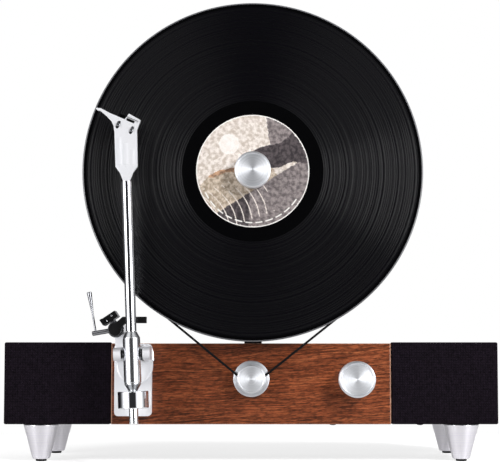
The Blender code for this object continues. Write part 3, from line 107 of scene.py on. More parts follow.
class Body(Enum):
    """The bodies of the model, each of which moves as one."""

    CABINET = "cabinet"
    PLATTER = "platter"
    CLAMP = "clamp"
    PULLEY = "pulley"
    VOLUME = "volume"
    POWER_BUTTON = "power_button"
    SOURCE_BUTTON = "source_button"
    YOKE = "yoke"
    ARM = "arm"
    COUNTERWEIGHT = "counterweight"
    CUE_LIFT = "cue_lift"
    CUE_LEVER = "cue_lever"


class Slot(Enum):
    """The material slots of the part's record, one of which each finish stands for."""

    WALNUT = "walnut"
    BLACK_BOARD = "black_board"
    CLOTH = "cloth"
    CAST_ALUMINIUM = "cast_aluminium"
    SPUN_ALUMINIUM = "spun_aluminium"
    BLACK_ALUMINIUM = "black_aluminium"
    CHROME = "chrome"
    STEEL = "steel"
    BLACK_METAL = "black_metal"
    BLACK_PLASTIC = "black_plastic"
    RUBBER = "rubber"
    CONE_PAPER = "cone_paper"
    VINYL = "vinyl"
    PAPER = "paper"
    CIRCUIT = "circuit"


class Side(Enum):
    """The player's two sides, as the viewer sees them."""

    LEFT = "left"
    RIGHT = "right"


class Row(Enum):
    """The two rows of feet."""

    FRONT = "front"
    REAR = "rear"


def at(across: float, height: float, out: float) -> Vector:
    """Turns a place in millimetres into a point in metres.

    Args:
        across: how far right of the middle.
        height: how far above the floor.
        out: how far in front of the cabinet's face.

    Returns:
        The point in the model's frame.
    """
    return Vector((across * MM, FRONT_Y - out * MM, height * MM))


def linear(code: str) -> Colour:
    """Turns an sRGB colour such as #a0b1c2 into linear red, green, blue and alpha."""
    parts = [int(code[i : i + 2], 16) / 255 for i in (1, 3, 5)]
    return (*[p / 12.92 if p <= 0.04045 else ((p + 0.055) / 1.055) ** 2.4 for p in parts], 1.0)


def scale_for(size: float) -> float:
    """Gives the scale of a pattern whose grains are about as large as a size in millimetres."""
    return 1.0 / (size * MM)


def ranged(value: Socket, between: Span = (0.0, 1.0), to: Span = (0.0, 1.0)) -> dict[str, object]:
    """Writes down how a value is carried over from one range to another.

    Args:
        value: the value.
        between: the range that it comes from.
        to: the range that it is spread over.

    Returns:
        The inputs of the node that does it.
    """
    return {"Value": value, "From Min": between[0], "From Max": between[1], "To Min": to[0], "To Max": to[1]}


def add_node(tree: Tree, kind: str, inputs: dict[str | int, object] | None = None,
             stops: Stops = (), **settings: object) -> Node:
    """Adds a node with its settings and links.

    Args:
        tree: the node tree of a material, a world or a geometry modifier.
        kind: the node's type.
        inputs: for each input, by name or number, the value it has or the output it is linked to.
        stops: for a colour ramp, pairs of place and sRGB colour.
        settings: the node's own properties.

    Returns:
        The node.
    """
    node = tree.nodes.new(kind)
    for key, value in settings.items():
        setattr(node, key, value)
    for key, value in (inputs or {}).items():
        if isinstance(value, Socket):
            tree.links.new(value, node.inputs[key])
        else:
            node.inputs[key].default_value = value
    if stops:
        ramp = node.color_ramp.elements
        while len(ramp) < len(stops):
            ramp.new(0.5)
        for step, (place, code) in zip(ramp, stops):
            step.position = place
            step.color = linear(code)
    return node


@dataclass(frozen=True)
class Axis:
    """The axis of a turned part: a point on it, and the way in which heights along it are counted."""

    origin: Vector
    direction: Vector = field(default_factory=lambda: TOWARDS_VIEWER.copy())


@dataclass(frozen=True)
class Turning:
    """What the nodes of a turned part measure.

    Its fields are the distance from the axis plus the height along it, in metres, the distance alone, and the
    direction across the tool marks, along which their glint is drawn out.
    """

    marks: Socket
    radius: Socket
    glint: Socket


@dataclass(frozen=True)
class Finish:
    """A surface finish, with the name of its material and the material slot of the record it stands for."""

    name: str
    slot: Slot

    def material(self) -> bpy.types.Material:
        """Gives the finish's material, and builds it the first time.

        Returns:
            The material.
        """
        made = bpy.data.materials.get(self.name)
        if made is None:
            made = bpy.data.materials.new(self.name)
            made.use_nodes = True
            tree = made.node_tree
            tree.nodes.clear()
            surface = self.shade(tree).outputs[0]
            add_node(tree, "ShaderNodeOutputMaterial", {"Surface": surface})
        return made

    def shade(self, tree: Tree) -> Node:
        """Adds the finish's own shader.

        Args:
            tree: the material's empty node tree.

        Returns:
            The shader.
        """
        raise NotImplementedError


def turned(tree: Tree, axis: Axis) -> Turning:
    """Adds the nodes that measure a turned part from its axis.

    Args:
        tree: the material's node tree.
        axis: the axis that the part was turned on.

    Returns:
        What the nodes measure.
    """
    place = add_node(tree, "ShaderNodeTexCoord").outputs["Object"]
    reach = add_node(tree, "ShaderNodeVectorMath", {0: place, 1: axis.origin},
                     operation="SUBTRACT").outputs[0]
    along = add_node(tree, "ShaderNodeVectorMath", {0: reach, 1: axis.direction}, operation="DOT_PRODUCT")
    marks = add_node(tree, "ShaderNodeVectorMath", {0: axis.direction, 1: reach}, operation="CROSS_PRODUCT")
    radius = add_node(tree, "ShaderNodeVectorMath", {0: marks.outputs[0]}, operation="LENGTH")
    both = add_node(tree, "ShaderNodeMath", {0: radius.outputs["Value"], 1: along.outputs["Value"]})
    world = add_node(tree, "ShaderNodeVectorTransform", {"Vector": marks.outputs[0]},
                     vector_type="VECTOR", convert_from="OBJECT", convert_to="WORLD")
    normal = add_node(tree, "ShaderNodeNewGeometry").outputs["Normal"]
    across = add_node(tree, "ShaderNodeVectorMath", {0: world.outputs[0], 1: normal},
                      operation="CROSS_PRODUCT")
    return Turning(both.outputs[0], radius.outputs["Value"], across.outputs[0])


def ringed(tree: Tree, distance: Socket, spacing: float, detail: float) -> Socket:
    """Adds a pattern of rings of uneven strength.

    Args:
        tree: the material's node tree.
        distance: the distance that the rings follow, in metres.
        spacing: how far apart they are, in millimetres.
        detail: how many finer sets of rings lie in them.

    Returns:
        The pattern, from 0 to 1.
    """
    place = add_node(tree, "ShaderNodeMath", {0: distance, 1: scale_for(spacing)}, operation="MULTIPLY")
    return add_node(tree, "ShaderNodeTexNoise", {"W": place.outputs[0], "Scale": 1.0, "Detail": detail},
                    noise_dimensions="1D").outputs[0]


@dataclass(frozen=True)
class Spun(Finish):
    """Turned aluminium: fine rings round the axis draw each highlight out into a bow-tie of light.

    A lathe tool leaves rings about 0.2 mm apart. A pixel is 0.9 mm, so they are drawn 1.1 mm apart to show.
    """

    axis: Axis
    colour: str = "#eef0f4"
    shadow_colour: str = "#e2e4e9"
    metallic: float = 1.0
    roughness: float = 0.46
    roughness_spread: float = 0.03
    drawn_out: float = 0.62
    ring_spacing: float = 1.1
    ring_detail: float = 3.0
    ring_levels: Span = (0.25, 0.7)
    ring_strength: float = 0.006
    ring_height: float = 0.2

    def shade(self, tree: Tree) -> Node:
        """Adds a metal shader whose rings vary its colour, gloss and height.

        Args:
            tree: the material's empty node tree.

        Returns:
            The shader.
        """
        turning = turned(tree, self.axis)
        rings = ringed(tree, turning.marks, self.ring_spacing, self.ring_detail)
        colours = list(zip(self.ring_levels, (self.shadow_colour, self.colour)))
        tint = add_node(tree, "ShaderNodeValToRGB", {0: rings}, colours).outputs["Color"]
        between = (self.roughness + self.roughness_spread, self.roughness - self.roughness_spread)
        gloss = add_node(tree, "ShaderNodeMapRange", ranged(rings, to=between)).outputs[0]
        bump = add_node(tree, "ShaderNodeBump", {
            "Height": rings, "Strength": self.ring_strength, "Distance": self.ring_height * MM}).outputs[0]
        return add_node(tree, "ShaderNodeBsdfPrincipled", {
            "Base Color": tint, "Metallic": self.metallic, "Roughness": gloss, "Tangent": turning.glint,
            "Anisotropic": self.drawn_out, "Normal": bump})


@dataclass(frozen=True)
class Grained(Finish):
    """A plain finish with fine irregular grain, such as cast metal, moulded plastic, paint or rubber.

    Real grain of this kind is 0.05 to 0.3 mm across. It is drawn about 1 mm across, which is as fine as the
    render can show.
    """

    colour: str
    second_colour: str
    metallic: float = 0.0
    roughness: float = 0.4
    roughness_shares: Span = (1.18, 0.84)
    specular: float = 0.5
    grain: float = 1.2
    grain_strength: float = 0.1
    grain_height: float = 0.3
    grain_share: float = 0.35
    blotch: float = 20.0
    levels: Span = (0.3, 0.68)

    def shade(self, tree: Tree) -> Node:
        """Adds a shader with small grain in its height and broad blotches in its colour.

        Args:
            tree: the material's empty node tree.

        Returns:
            The shader.
        """
        place = add_node(tree, "ShaderNodeTexCoord").outputs["Object"]
        fine = add_node(tree, "ShaderNodeTexNoise", {
            "Vector": place, "Scale": scale_for(self.grain), "Detail": 2.0, "Roughness": 0.6}).outputs[0]
        broad = add_node(tree, "ShaderNodeTexNoise", {
            "Vector": place, "Scale": scale_for(self.blotch), "Detail": 2.0}).outputs[0]
        blend = add_node(tree, "ShaderNodeMix", {0: self.grain_share, 2: broad, 3: fine},
                         data_type="FLOAT").outputs[0]
        colours = list(zip(self.levels, (self.second_colour, self.colour)))
        tint = add_node(tree, "ShaderNodeValToRGB", {0: blend}, colours).outputs["Color"]
        between = tuple(self.roughness * share for share in self.roughness_shares)
        gloss = add_node(tree, "ShaderNodeMapRange", ranged(blend, to=between)).outputs[0]
        bump = add_node(tree, "ShaderNodeBump", {
            "Height": fine, "Strength": self.grain_strength, "Distance": self.grain_height * MM}).outputs[0]
        return add_node(tree, "ShaderNodeBsdfPrincipled", {
            "Base Color": tint, "Metallic": self.metallic, "Roughness": gloss,
            "Specular IOR Level": self.specular, "Normal": bump})


@dataclass(frozen=True)
class Walnut(Finish):
    """Oiled walnut veneer, sliced and sanded: long thin dark lines on red-brown, under a soft sheen.

    The growth rings are cut lengthwise, so they show as lines 1 to 3 mm apart that run far along the panel.
    Between them lie the fibres, and dashes where the slice opened the wood's pores. Real fibres and pores are
    0.1 to 0.3 mm wide and are drawn about 1 mm wide, to show at all.
    """

    fleck: str = "#ad663e"
    pale: str = "#8c4a2c"
    middle: str = "#70371d"
    deep: str = "#532811"
    line: str = "#260f07"

    # The grain rises to one side and wanders, and is this much shorter across than along
    slope_degrees: float = 3.5
    bend: float = 76.923
    sway: float = 9.0
    stretch: float = 0.032

    # Growth rings: how broad the bands of them are, how many lines a band holds, and their colours
    band: float = 26.0
    lines: float = 40.0
    ring_stops: Stops = ((0.0, deep), (0.14, middle), (0.5, pale), (0.85, middle), (0.95, line))

    # Fibres, their colours, and their share in the tint
    fibre: float = 1.2
    fibre_stops: Stops = ((0.37, line), (0.42, deep), (0.47, middle), (0.56, pale), (0.66, fleck))
    fibre_share: float = 0.62
    fibre_strength: float = 0.14
    fibre_height: float = 0.2

    # Pores, and how far they darken and lighten the wood
    pore: float = 0.9
    pore_stretch: float = 0.2
    pore_levels: Span = (0.34, 0.62)
    pore_tones: Span = (0.38, 1.28)

    # The whole panel is darker at its left end than at its right, and cloudy
    ends: Span = (-110.0, 110.0)
    end_tones: Span = (0.74, 1.16)
    cloud: float = 16.6667
    cloud_levels: Span = (0.3, 0.7)
    cloud_tones: Span = (0.88, 1.14)

    roughness: float = 0.38
    specular: float = 0.25

    def shade(self, tree: Tree) -> Node:
        """Adds the veneer's shader, with its grain along the cabinet's length.

        Args:
            tree: the material's empty node tree.

        Returns:
            The shader.
        """
        place = add_node(tree, "ShaderNodeTexCoord").outputs["Object"]
        level = self.wandering(tree, place)
        drawn = add_node(tree, "ShaderNodeMapping", {
            "Vector": level, "Scale": (self.stretch, 1.0, 1.0)}).outputs[0]
        bands = add_node(tree, "ShaderNodeTexNoise", {
            "Vector": drawn, "Scale": scale_for(self.band), "Detail": 2.0, "Roughness": 0.45}).outputs[0]
        count = add_node(tree, "ShaderNodeMath", {0: bands, 1: self.lines}, operation="MULTIPLY").outputs[0]
        ring = add_node(tree, "ShaderNodeMath", {0: count}, operation="FRACT").outputs[0]
        growth = add_node(tree, "ShaderNodeValToRGB", {0: ring}, self.ring_stops).outputs["Color"]
        fibre = add_node(tree, "ShaderNodeTexNoise", {
            "Vector": drawn, "Scale": scale_for(self.fibre), "Detail": 3.0, "Roughness": 0.7}).outputs[0]
        threads = add_node(tree, "ShaderNodeValToRGB", {0: fibre}, self.fibre_stops).outputs["Color"]
        tint = add_node(tree, "ShaderNodeMix", {0: self.fibre_share, 6: growth, 7: threads},
                        data_type="RGBA").outputs[2]
        tone = self.tone(tree, place, level, drawn)
        colour = add_node(tree, "ShaderNodeVectorMath", {0: tint, 3: tone}, operation="SCALE").outputs[0]
        bump = add_node(tree, "ShaderNodeBump", {
            "Height": fibre, "Strength": self.fibre_strength, "Distance": self.fibre_height * MM}).outputs[0]
        return add_node(tree, "ShaderNodeBsdfPrincipled", {
            "Base Color": colour, "Roughness": self.roughness, "Specular IOR Level": self.specular,
            "Normal": bump})

    def wandering(self, tree: Tree, place: Socket) -> Socket:
        """Bends the place so that lines along the panel wander and rise as the grain does.

        Args:
            tree: the material's node tree.
            place: the place on the panel, in metres.

        Returns:
            The bent place.
        """
        bend = add_node(tree, "ShaderNodeTexNoise", {
            "Vector": place, "Scale": scale_for(self.bend), "Detail": 1.0}).outputs["Color"]
        sway = add_node(tree, "ShaderNodeVectorMath", {0: bend, 1: (0.0, 0.0, self.sway * MM)},
                        operation="MULTIPLY").outputs[0]
        bent = add_node(tree, "ShaderNodeVectorMath", {0: place, 1: sway}).outputs[0]
        turn = (0.0, math.radians(self.slope_degrees), 0.0)
        return add_node(tree, "ShaderNodeMapping", {"Vector": bent, "Rotation": turn}).outputs[0]

    def tone(self, tree: Tree, place: Socket, level: Socket, drawn: Socket) -> Socket:
        """Adds how far the pores, the panel's clouds and its place from end to end lighten the wood.

        Args:
            tree: the material's node tree.
            place: the place on the panel, in metres.
            level: the same place, bent as the grain is.
            drawn: the bent place, drawn out along the grain.

        Returns:
            The factor for the colour.
        """
        dashes = add_node(tree, "ShaderNodeMapping", {
            "Vector": level, "Scale": (self.pore_stretch, 1.0, 1.0)}).outputs[0]
        dashes = add_node(tree, "ShaderNodeTexNoise", {
            "Vector": dashes, "Scale": scale_for(self.pore), "Detail": 2.0, "Roughness": 0.6}).outputs[0]
        across = add_node(tree, "ShaderNodeSeparateXYZ", {0: place}).outputs["X"]
        ends = (self.ends[0] * MM, self.ends[1] * MM)
        cloud = add_node(tree, "ShaderNodeTexNoise", {
            "Vector": drawn, "Scale": scale_for(self.cloud), "Detail": 1.0}).outputs[0]
        factors = []
        for value, levels, tones in ((cloud, self.cloud_levels, self.cloud_tones),
                                     (across, ends, self.end_tones),
                                     (dashes, self.pore_levels, self.pore_tones)):
            factors.append(add_node(tree, "ShaderNodeMapRange", ranged(value, levels, tones)).outputs[0])
        broad = add_node(tree, "ShaderNodeMath", {0: factors[0], 1: factors[1]},
                         operation="MULTIPLY").outputs[0]
        return add_node(tree, "ShaderNodeMath", {0: broad, 1: factors[2]}, operation="MULTIPLY").outputs[0]


@dataclass(frozen=True)
class Weave(Finish):
    """Black speaker cloth: a plain weave of spun polyester, matt, with fluff that catches specks of light.

    Its threads are about 0.3 mm apart. They are drawn 1.1 mm apart, so that the weave shows.
    """

    dark: str = "#040205"
    light: str = "#1c151e"
    levels: Span = (0.26, 0.66)
    thread: float = 1.1
    thread_strength: float = 0.4
    thread_height: float = 0.3

    # Threads stray from their lines over this length, by this much
    stray: float = 3.3333
    swing: float = 1.2

    # Fluff: the size of its specks and its share in the colour
    speck: float = 1.9
    speck_share: float = 0.8

    roughness: float = 0.92
    specular: float = 0.08

    def shade(self, tree: Tree) -> Node:
        """Adds the cloth's shader from two crossed sets of threads and loose fluff.

        Args:
            tree: the material's empty node tree.

        Returns:
            The shader.
        """
        place = add_node(tree, "ShaderNodeTexCoord").outputs["Object"]
        stray = add_node(tree, "ShaderNodeTexNoise", {
            "Vector": place, "Scale": scale_for(self.stray), "Detail": 1.0}).outputs["Color"]
        swing = add_node(tree, "ShaderNodeVectorMath", {0: stray, 1: (self.swing * MM,) * 3},
                         operation="MULTIPLY").outputs[0]
        loose = add_node(tree, "ShaderNodeVectorMath", {0: place, 1: swing}).outputs[0]
        rises = []
        for direction in ("X", "Z"):
            rises.append(add_node(tree, "ShaderNodeTexWave", {
                "Vector": loose, "Scale": scale_for(self.thread) / math.tau, "Distortion": 0.0},
                wave_type="BANDS", bands_direction=direction).outputs["Fac"])
        crossing = add_node(tree, "ShaderNodeMath", {0: rises[0], 1: rises[1]},
                            operation="MULTIPLY").outputs[0]
        fluff = add_node(tree, "ShaderNodeTexNoise", {
            "Vector": place, "Scale": scale_for(self.speck), "Detail": 3.0, "Roughness": 0.7}).outputs[0]
        mix = add_node(tree, "ShaderNodeMix", {0: self.speck_share, 2: crossing, 3: fluff},
                       data_type="FLOAT").outputs[0]
        colours = list(zip(self.levels, (self.dark, self.light)))
        tint = add_node(tree, "ShaderNodeValToRGB", {0: mix}, colours).outputs["Color"]
        bump = add_node(tree, "ShaderNodeBump", {
            "Height": crossing, "Strength": self.thread_strength, "Distance": self.thread_height * MM})
        return add_node(tree, "ShaderNodeBsdfPrincipled", {
            "Base Color": tint, "Roughness": self.roughness, "Specular IOR Level": self.specular,
            "Normal": bump.outputs[0]})


@dataclass(frozen=True)
class Vinyl(Finish):
    """Pressed black vinyl: its grooves smear each lamp into a wedge of sheen on either side.

    Grooves are about 0.1 mm apart, far finer than a pixel. They are drawn as rings 1.6 mm apart, which gives
    the faint bands that tracks of changing loudness show. The lands without grooves are smooth and gloss.
    """

    axis: Axis
    dark: str = "#030305"
    light: str = "#09080c"
    levels: Span = (0.35, 0.65)
    grooves_between: Span = (62.6, 146.8)
    ring_spacing: float = 1.6
    ring_detail: float = 4.0
    ring_strength: float = 0.06
    ring_height: float = 0.2
    gloss_levels: Span = (0.3, 0.7)
    roughness_between: Span = (0.36, 0.15)
    drawn_out: float = 0.96
    specular: float = 0.275
    land_colour: str = "#050506"
    land_roughness: float = 0.14
    land_specular: float = 0.16

    def shade(self, tree: Tree) -> Node:
        """Adds a gloss for the smooth lands and a drawn-out gloss for the grooves.

        Args:
            tree: the material's empty node tree.

        Returns:
            The mix of both.
        """
        turning = turned(tree, self.axis)
        rings = ringed(tree, turning.radius, self.ring_spacing, self.ring_detail)
        bump = add_node(tree, "ShaderNodeBump", {
            "Height": rings, "Strength": self.ring_strength, "Distance": self.ring_height * MM}).outputs[0]
        gloss = add_node(tree, "ShaderNodeMapRange",
                         ranged(rings, self.gloss_levels, self.roughness_between)).outputs[0]
        colours = list(zip(self.levels, (self.dark, self.light)))
        tint = add_node(tree, "ShaderNodeValToRGB", {0: rings}, colours).outputs["Color"]
        grooves = add_node(tree, "ShaderNodeBsdfPrincipled", {
            "Base Color": tint, "Roughness": gloss, "Tangent": turning.glint, "Anisotropic": self.drawn_out,
            "Specular IOR Level": self.specular, "Normal": bump}).outputs[0]
        lands = add_node(tree, "ShaderNodeBsdfPrincipled", {
            "Base Color": linear(self.land_colour), "Roughness": self.land_roughness,
            "Specular IOR Level": self.land_specular}).outputs[0]
        start, end = (reach * MM for reach in self.grooves_between)
        inner = add_node(tree, "ShaderNodeMath", {0: turning.radius, 1: start},
                         operation="GREATER_THAN").outputs[0]
        outer = add_node(tree, "ShaderNodeMath", {0: turning.radius, 1: end},
                         operation="LESS_THAN").outputs[0]
        cut = add_node(tree, "ShaderNodeMath", {0: inner, 1: outer}, operation="MULTIPLY").outputs[0]
        return add_node(tree, "ShaderNodeMixShader", {0: cut, 1: lands, 2: grooves})


@dataclass(frozen=True)
class Printed(Finish):
    """Offset-printed label paper, pressed flat: soft ink colours that fine paper fibre breaks up.

    The colours lie in the mesh. Paper fibre is 0.03 mm thick, and is drawn 0.7 mm coarse to show.
    """

    attribute: str = "print"
    fibre: float = 0.714286
    fibre_strength: float = 0.12
    fibre_height: float = 0.1
    tones: Span = (0.78, 1.16)
    roughness: float = 0.46
    specular: float = 0.3

    def shade(self, tree: Tree) -> Node:
        """Adds the paper's shader over the printed colours.

        Args:
            tree: the material's empty node tree.

        Returns:
            The shader.
        """
        ink = add_node(tree, "ShaderNodeAttribute", attribute_name=self.attribute).outputs["Color"]
        place = add_node(tree, "ShaderNodeTexCoord").outputs["Object"]
        fibre = add_node(tree, "ShaderNodeTexNoise", {
            "Vector": place, "Scale": scale_for(self.fibre), "Detail": 3.0}).outputs[0]
        fade = add_node(tree, "ShaderNodeMapRange", ranged(fibre, to=self.tones)).outputs[0]
        colour = add_node(tree, "ShaderNodeVectorMath", {0: ink, 3: fade}, operation="SCALE").outputs[0]
        bump = add_node(tree, "ShaderNodeBump", {
            "Height": fibre, "Strength": self.fibre_strength, "Distance": self.fibre_height * MM}).outputs[0]
        return add_node(tree, "ShaderNodeBsdfPrincipled", {
            "Base Color": colour, "Roughness": self.roughness, "Specular IOR Level": self.specular,
            "Normal": bump})


@dataclass(frozen=True)
class Palette:
    """The finishes that several sub-assemblies share."""

    # Oiled walnut veneer on the front panel
    walnut: Walnut = Walnut("oiled_walnut_veneer", Slot.WALNUT)

    # The walnut's edges and chamfers, paler and matt: a painted highlight for the thin line of light that the
    # chamfers catch
    painted_edge_highlight: Grained = Grained(
        "sanded_walnut_edge", Slot.WALNUT, "#c59b84", "#8f5f46", roughness=0.6, specular=0.2, grain=0.9,
        blotch=4.0)

    # Fibreboard sprayed with black lacquer and left unpolished: an even black with a dull sheen
    lacquer: Grained = Grained(
        "black_lacquered_board", Slot.BLACK_BOARD, "#1b1a1b", "#131213", roughness=0.5, specular=0.3,
        grain=0.9, grain_strength=0.08)

    # Woven cloth over the speakers
    weave: Weave = Weave("black_woven_speaker_cloth", Slot.CLOTH)

    # Cast aluminium, bead-blasted: the beads' dimples scatter the light to an even near-white
    cast: Grained = Grained(
        "bead_blasted_aluminium", Slot.CAST_ALUMINIUM, "#f5f5f8", "#ebecf0", metallic=0.8, roughness=0.5,
        grain=0.9, grain_strength=0.05)

    # The same casting's chamfers, cut and polished afterwards: thin bright lines round its faces
    bright: Grained = Grained(
        "polished_aluminium_edge", Slot.CAST_ALUMINIUM, "#f2f3f6", "#e6e8ec", metallic=1.0, roughness=0.22,
        grain_strength=0.03)

    # Chromium plate on polished brass: a mirror with a slow waviness some 4 mm long
    chrome: Grained = Grained(
        "chromium_plate", Slot.CHROME, "#f1f2f5", "#e9ebee", metallic=1.0, roughness=0.06, grain=4.0,
        grain_strength=0.004)

    # Satin chromium plate on the pivot block: the same mirror, blurred, so that its dark stripe turns grey
    satin: Grained = Grained(
        "satin_chromium_plate", Slot.CHROME, "#f6f7fa", "#eff1f4", metallic=1.0, roughness=0.19, grain=4.0,
        grain_strength=0.004)

    # Ground steel on screws, axles and motor: grey, with fine scratches that soften its highlights
    steel: Grained = Grained(
        "ground_steel", Slot.STEEL, "#b9bbbf", "#a2a4a9", metallic=1.0, roughness=0.24, grain=0.8,
        grain_strength=0.05)

    # Polished stainless steel on the cue lever, lightly smoked: darker than chrome, with crisp stripes
    dark_steel: Grained = Grained(
        "smoked_steel", Slot.STEEL, "#9c9da1", "#85868a", metallic=1.0, roughness=0.12, grain=0.8,
        grain_strength=0.004)

    # Black powder coat on steel: near-black with a faint pebbled sheen
    black_metal: Grained = Grained(
        "black_powder_coat", Slot.BLACK_METAL, "#0d0d0e", "#070708", roughness=0.42, specular=0.2,
        grain=0.8, grain_strength=0.12)

    # Black anodised aluminium: dark grey metal with soft highlights
    anodised: Grained = Grained(
        "black_anodised_aluminium", Slot.BLACK_ALUMINIUM, "#1a1b1d", "#101113", metallic=0.6,
        roughness=0.33, grain=0.8, grain_strength=0.06)

    # Black ABS, moulded in a spark-eroded mould: near-black with a fine even texture
    moulded: Grained = Grained(
        "moulded_black_plastic", Slot.BLACK_PLASTIC, "#0f0f10", "#09090a", roughness=0.32, specular=0.22,
        grain=1.0, grain_strength=0.05)

    # Moulded black rubber on the belt, the buttons and the feet's pads: matt
    rubber: Grained = Grained(
        "black_rubber", Slot.RUBBER, "#0e0e0f", "#08080a", roughness=0.62, specular=0.12, grain=0.9,
        grain_strength=0.14)

    # Pressed wool felt under the record: no highlight, only a deep fuzz
    felt: Grained = Grained(
        "black_felt_mat", Slot.RUBBER, "#1c1b1d", "#121113", roughness=0.95, specular=0.15, grain=0.9,
        grain_strength=0.5)

    # Speaker cones pressed from paper pulp: dull charcoal with visible fibre
    cone: Grained = Grained(
        "pressed_paper_cone", Slot.CONE_PAPER, "#2c2b2c", "#1c1b1c", roughness=0.85, specular=0.2,
        grain=1.1, grain_strength=0.35)

    # The record's bead and edge in grey: a painted highlight for the thin line of light round its rounded rim
    rim: Grained = Grained(
        "trimmed_vinyl_rim", Slot.VINYL, "#69696d", "#58585c", roughness=0.3, specular=0.6,
        grain_strength=0.03)

    # Glass-fibre circuit board under green solder mask
    circuit: Grained = Grained(
        "green_circuit_board", Slot.CIRCUIT, "#1f5a3a", "#174a2f", roughness=0.4, grain=1.1,
        grain_strength=0.05)


FINISHES = Palette()


def new_object(name: str, data: bpy.types.ID) -> bpy.types.Object:
    """Puts a new object in the scene.

    Args:
        name: its name.
        data: what it shows, such as a mesh, a lamp or a camera.

    Returns:
        The object.
    """
    made = bpy.data.objects.new(name, data)
    bpy.context.scene.collection.objects.link(made)
    return made


def mesh_from(name: str, bm: BMesh, crease: float = CREASE_ANGLE) -> Mesh:
    """Closes a mesh's seams, points its faces outwards and shades it smooth between its edges.

    Args:
        name: the mesh's name.
        bm: the faces, which are freed here.
        crease: the least angle between faces that still shows as an edge.

    Returns:
        The mesh.
    """
    bmesh.ops.remove_doubles(bm, verts=bm.verts, dist=MERGE_DISTANCE)
    bmesh.ops.recalc_face_normals(bm, faces=bm.faces)
    mesh = bpy.data.meshes.new(name)
    bm.to_mesh(mesh)
    bm.free()
    mesh.polygons.foreach_set("use_smooth", [True] * len(mesh.polygons))
    mesh.set_sharp_from_angle(angle=crease)
    return mesh


def eased(profile: Profile, radius: float, steps: int = 3) -> list[tuple[float, float]]:
    """Rounds the inner corners of a profile.

    Args:
        profile: the profile's points.
        radius: how far from a corner its rounding starts, in millimetres.
        steps: how many chords a rounding has.

    Returns:
        The rounded profile.
    """
    points = [Vector(p) for p in profile]
    out = [points[0]]
    for before, corner, after in zip(points, points[1:], points[2:]):
        back, on = before - corner, after - corner
        shortest = min(back.length, on.length)
        if shortest < LEAST_LENGTH or abs(back.angle(on) - math.pi) < STRAIGHT_ANGLE:
            out.append(corner)
            continue
        reach = min(radius, shortest * EASED_SHARE)
        start, end = corner + back.normalized() * reach, corner + on.normalized() * reach
        for step in range(steps + 1):
            share = step / steps
            out.append(start.lerp(corner, share).lerp(corner.lerp(end, share), share))
    out.append(points[-1])
    return [tuple(p) for p in out]


def lathe(name: str, profile: Profile, axis: Axis, segments: int = 96, ring: bool = False) -> Mesh:
    """Turns a profile round an axis.

    Args:
        name: the mesh's name.
        profile: pairs of radius and height along the axis, in millimetres.
        axis: the axis.
        segments: how many steps make the full turn.
        ring: whether the last point joins the first, as for a part with a hole.

    Returns:
        The closed mesh.
    """
    side = axis.direction.orthogonal().normalized()
    other = axis.direction.cross(side)
    bm = bmesh.new()
    rows = []
    for radius, height in profile:
        middle = axis.origin + axis.direction * (height * MM)
        turns = [math.tau * i / segments for i in range(segments)] if radius > LEAST_RADIUS else [0.0]
        rows.append([bm.verts.new(middle + (side * math.cos(t) + other * math.sin(t)) * radius * MM)
                     for t in turns])
    pairs = list(zip(rows, rows[1:])) + ([(rows[-1], rows[0])] if ring else [])
    for low, high in pairs:
        for i in range(segments):
            j = (i + 1) % segments
            corners = (low[i % len(low)], low[j % len(low)], high[j % len(high)], high[i % len(high)])
            corners = list(dict.fromkeys(corners))
            if len(corners) > 2:
                bm.faces.new(corners)
    return mesh_from(name, bm, LATHE_CREASE)


def walled(bm: BMesh, rows: Sequence[Sequence[bmesh.types.BMVert]]) -> None:
    """Joins each closed row of corners to the next with a band of faces.

    Args:
        bm: the mesh that the corners are in.
        rows: the rows, all with as many corners.
    """
    for near, far in zip(rows, rows[1:]):
        for i in range(len(near)):
            j = (i + 1) % len(near)
            bm.faces.new((near[i], near[j], far[j], far[i]))


def add_piece(name: str, mesh: Mesh, finish: Finish, body: Body,
              stands_for: Iterable[str] = ()) -> bpy.types.Object:
    """Puts a mesh in the scene as a piece of the player.

    Args:
        name: the piece's name.
        mesh: its mesh, already in place.
        finish: what it is made of and how that was finished.
        body: the body of the model that it moves with.
        stands_for: the nodes of the model that it shows in finer form.

    Returns:
        The piece.
    """
    piece = new_object(name, mesh)
    mesh.materials.clear()
    mesh.materials.append(finish.material())
    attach(piece, body.value)
    if stands_for:
        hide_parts(*stands_for)
    even = piece.modifiers.new("even_faces", "WEIGHTED_NORMAL")
    even.keep_sharp = True
    LOG.info("%s: %d faces, %s, on %s", name, len(mesh.polygons), finish.name, body.value)
    return piece


def carved(bm: BMesh, cutters: Sequence[Mesh]) -> BMesh:
    """Cuts closed meshes out of a solid.

    Args:
        bm: the solid, which is freed here.
        cutters: the meshes.

    Returns:
        The carved solid.
    """
    blank = bpy.data.meshes.new("blank")
    bm.to_mesh(blank)
    bm.free()
    solid = new_object("blank", blank)
    tools = [new_object("cutter", cutter) for cutter in cutters]
    for tool in tools:
        cut = solid.modifiers.new("cut", "BOOLEAN")
        cut.operation, cut.solver, cut.object = "DIFFERENCE", "EXACT", tool
    mesh = bpy.data.meshes.new_from_object(solid.evaluated_get(bpy.context.evaluated_depsgraph_get()))
    for thing in [solid, *tools]:
        bpy.data.objects.remove(thing)
    result = bmesh.new()
    result.from_mesh(mesh)
    bmesh.ops.remove_doubles(result, verts=result.verts, dist=MERGE_DISTANCE)
    bmesh.ops.dissolve_limit(result, angle_limit=FLAT_ANGLE, verts=result.verts, edges=result.edges)
    return result


def joined(name: str, meshes: Sequence[Mesh]) -> Mesh:
    """Puts several closed meshes into one.

    Args:
        name: the new mesh's name.
        meshes: the meshes, which are removed here.

    Returns:
        The mesh.
    """
    bm = bmesh.new()
    for mesh in meshes:
        bm.from_mesh(mesh)
        bpy.data.meshes.remove(mesh)
    return mesh_from(name, bm, JOINED_CREASE)


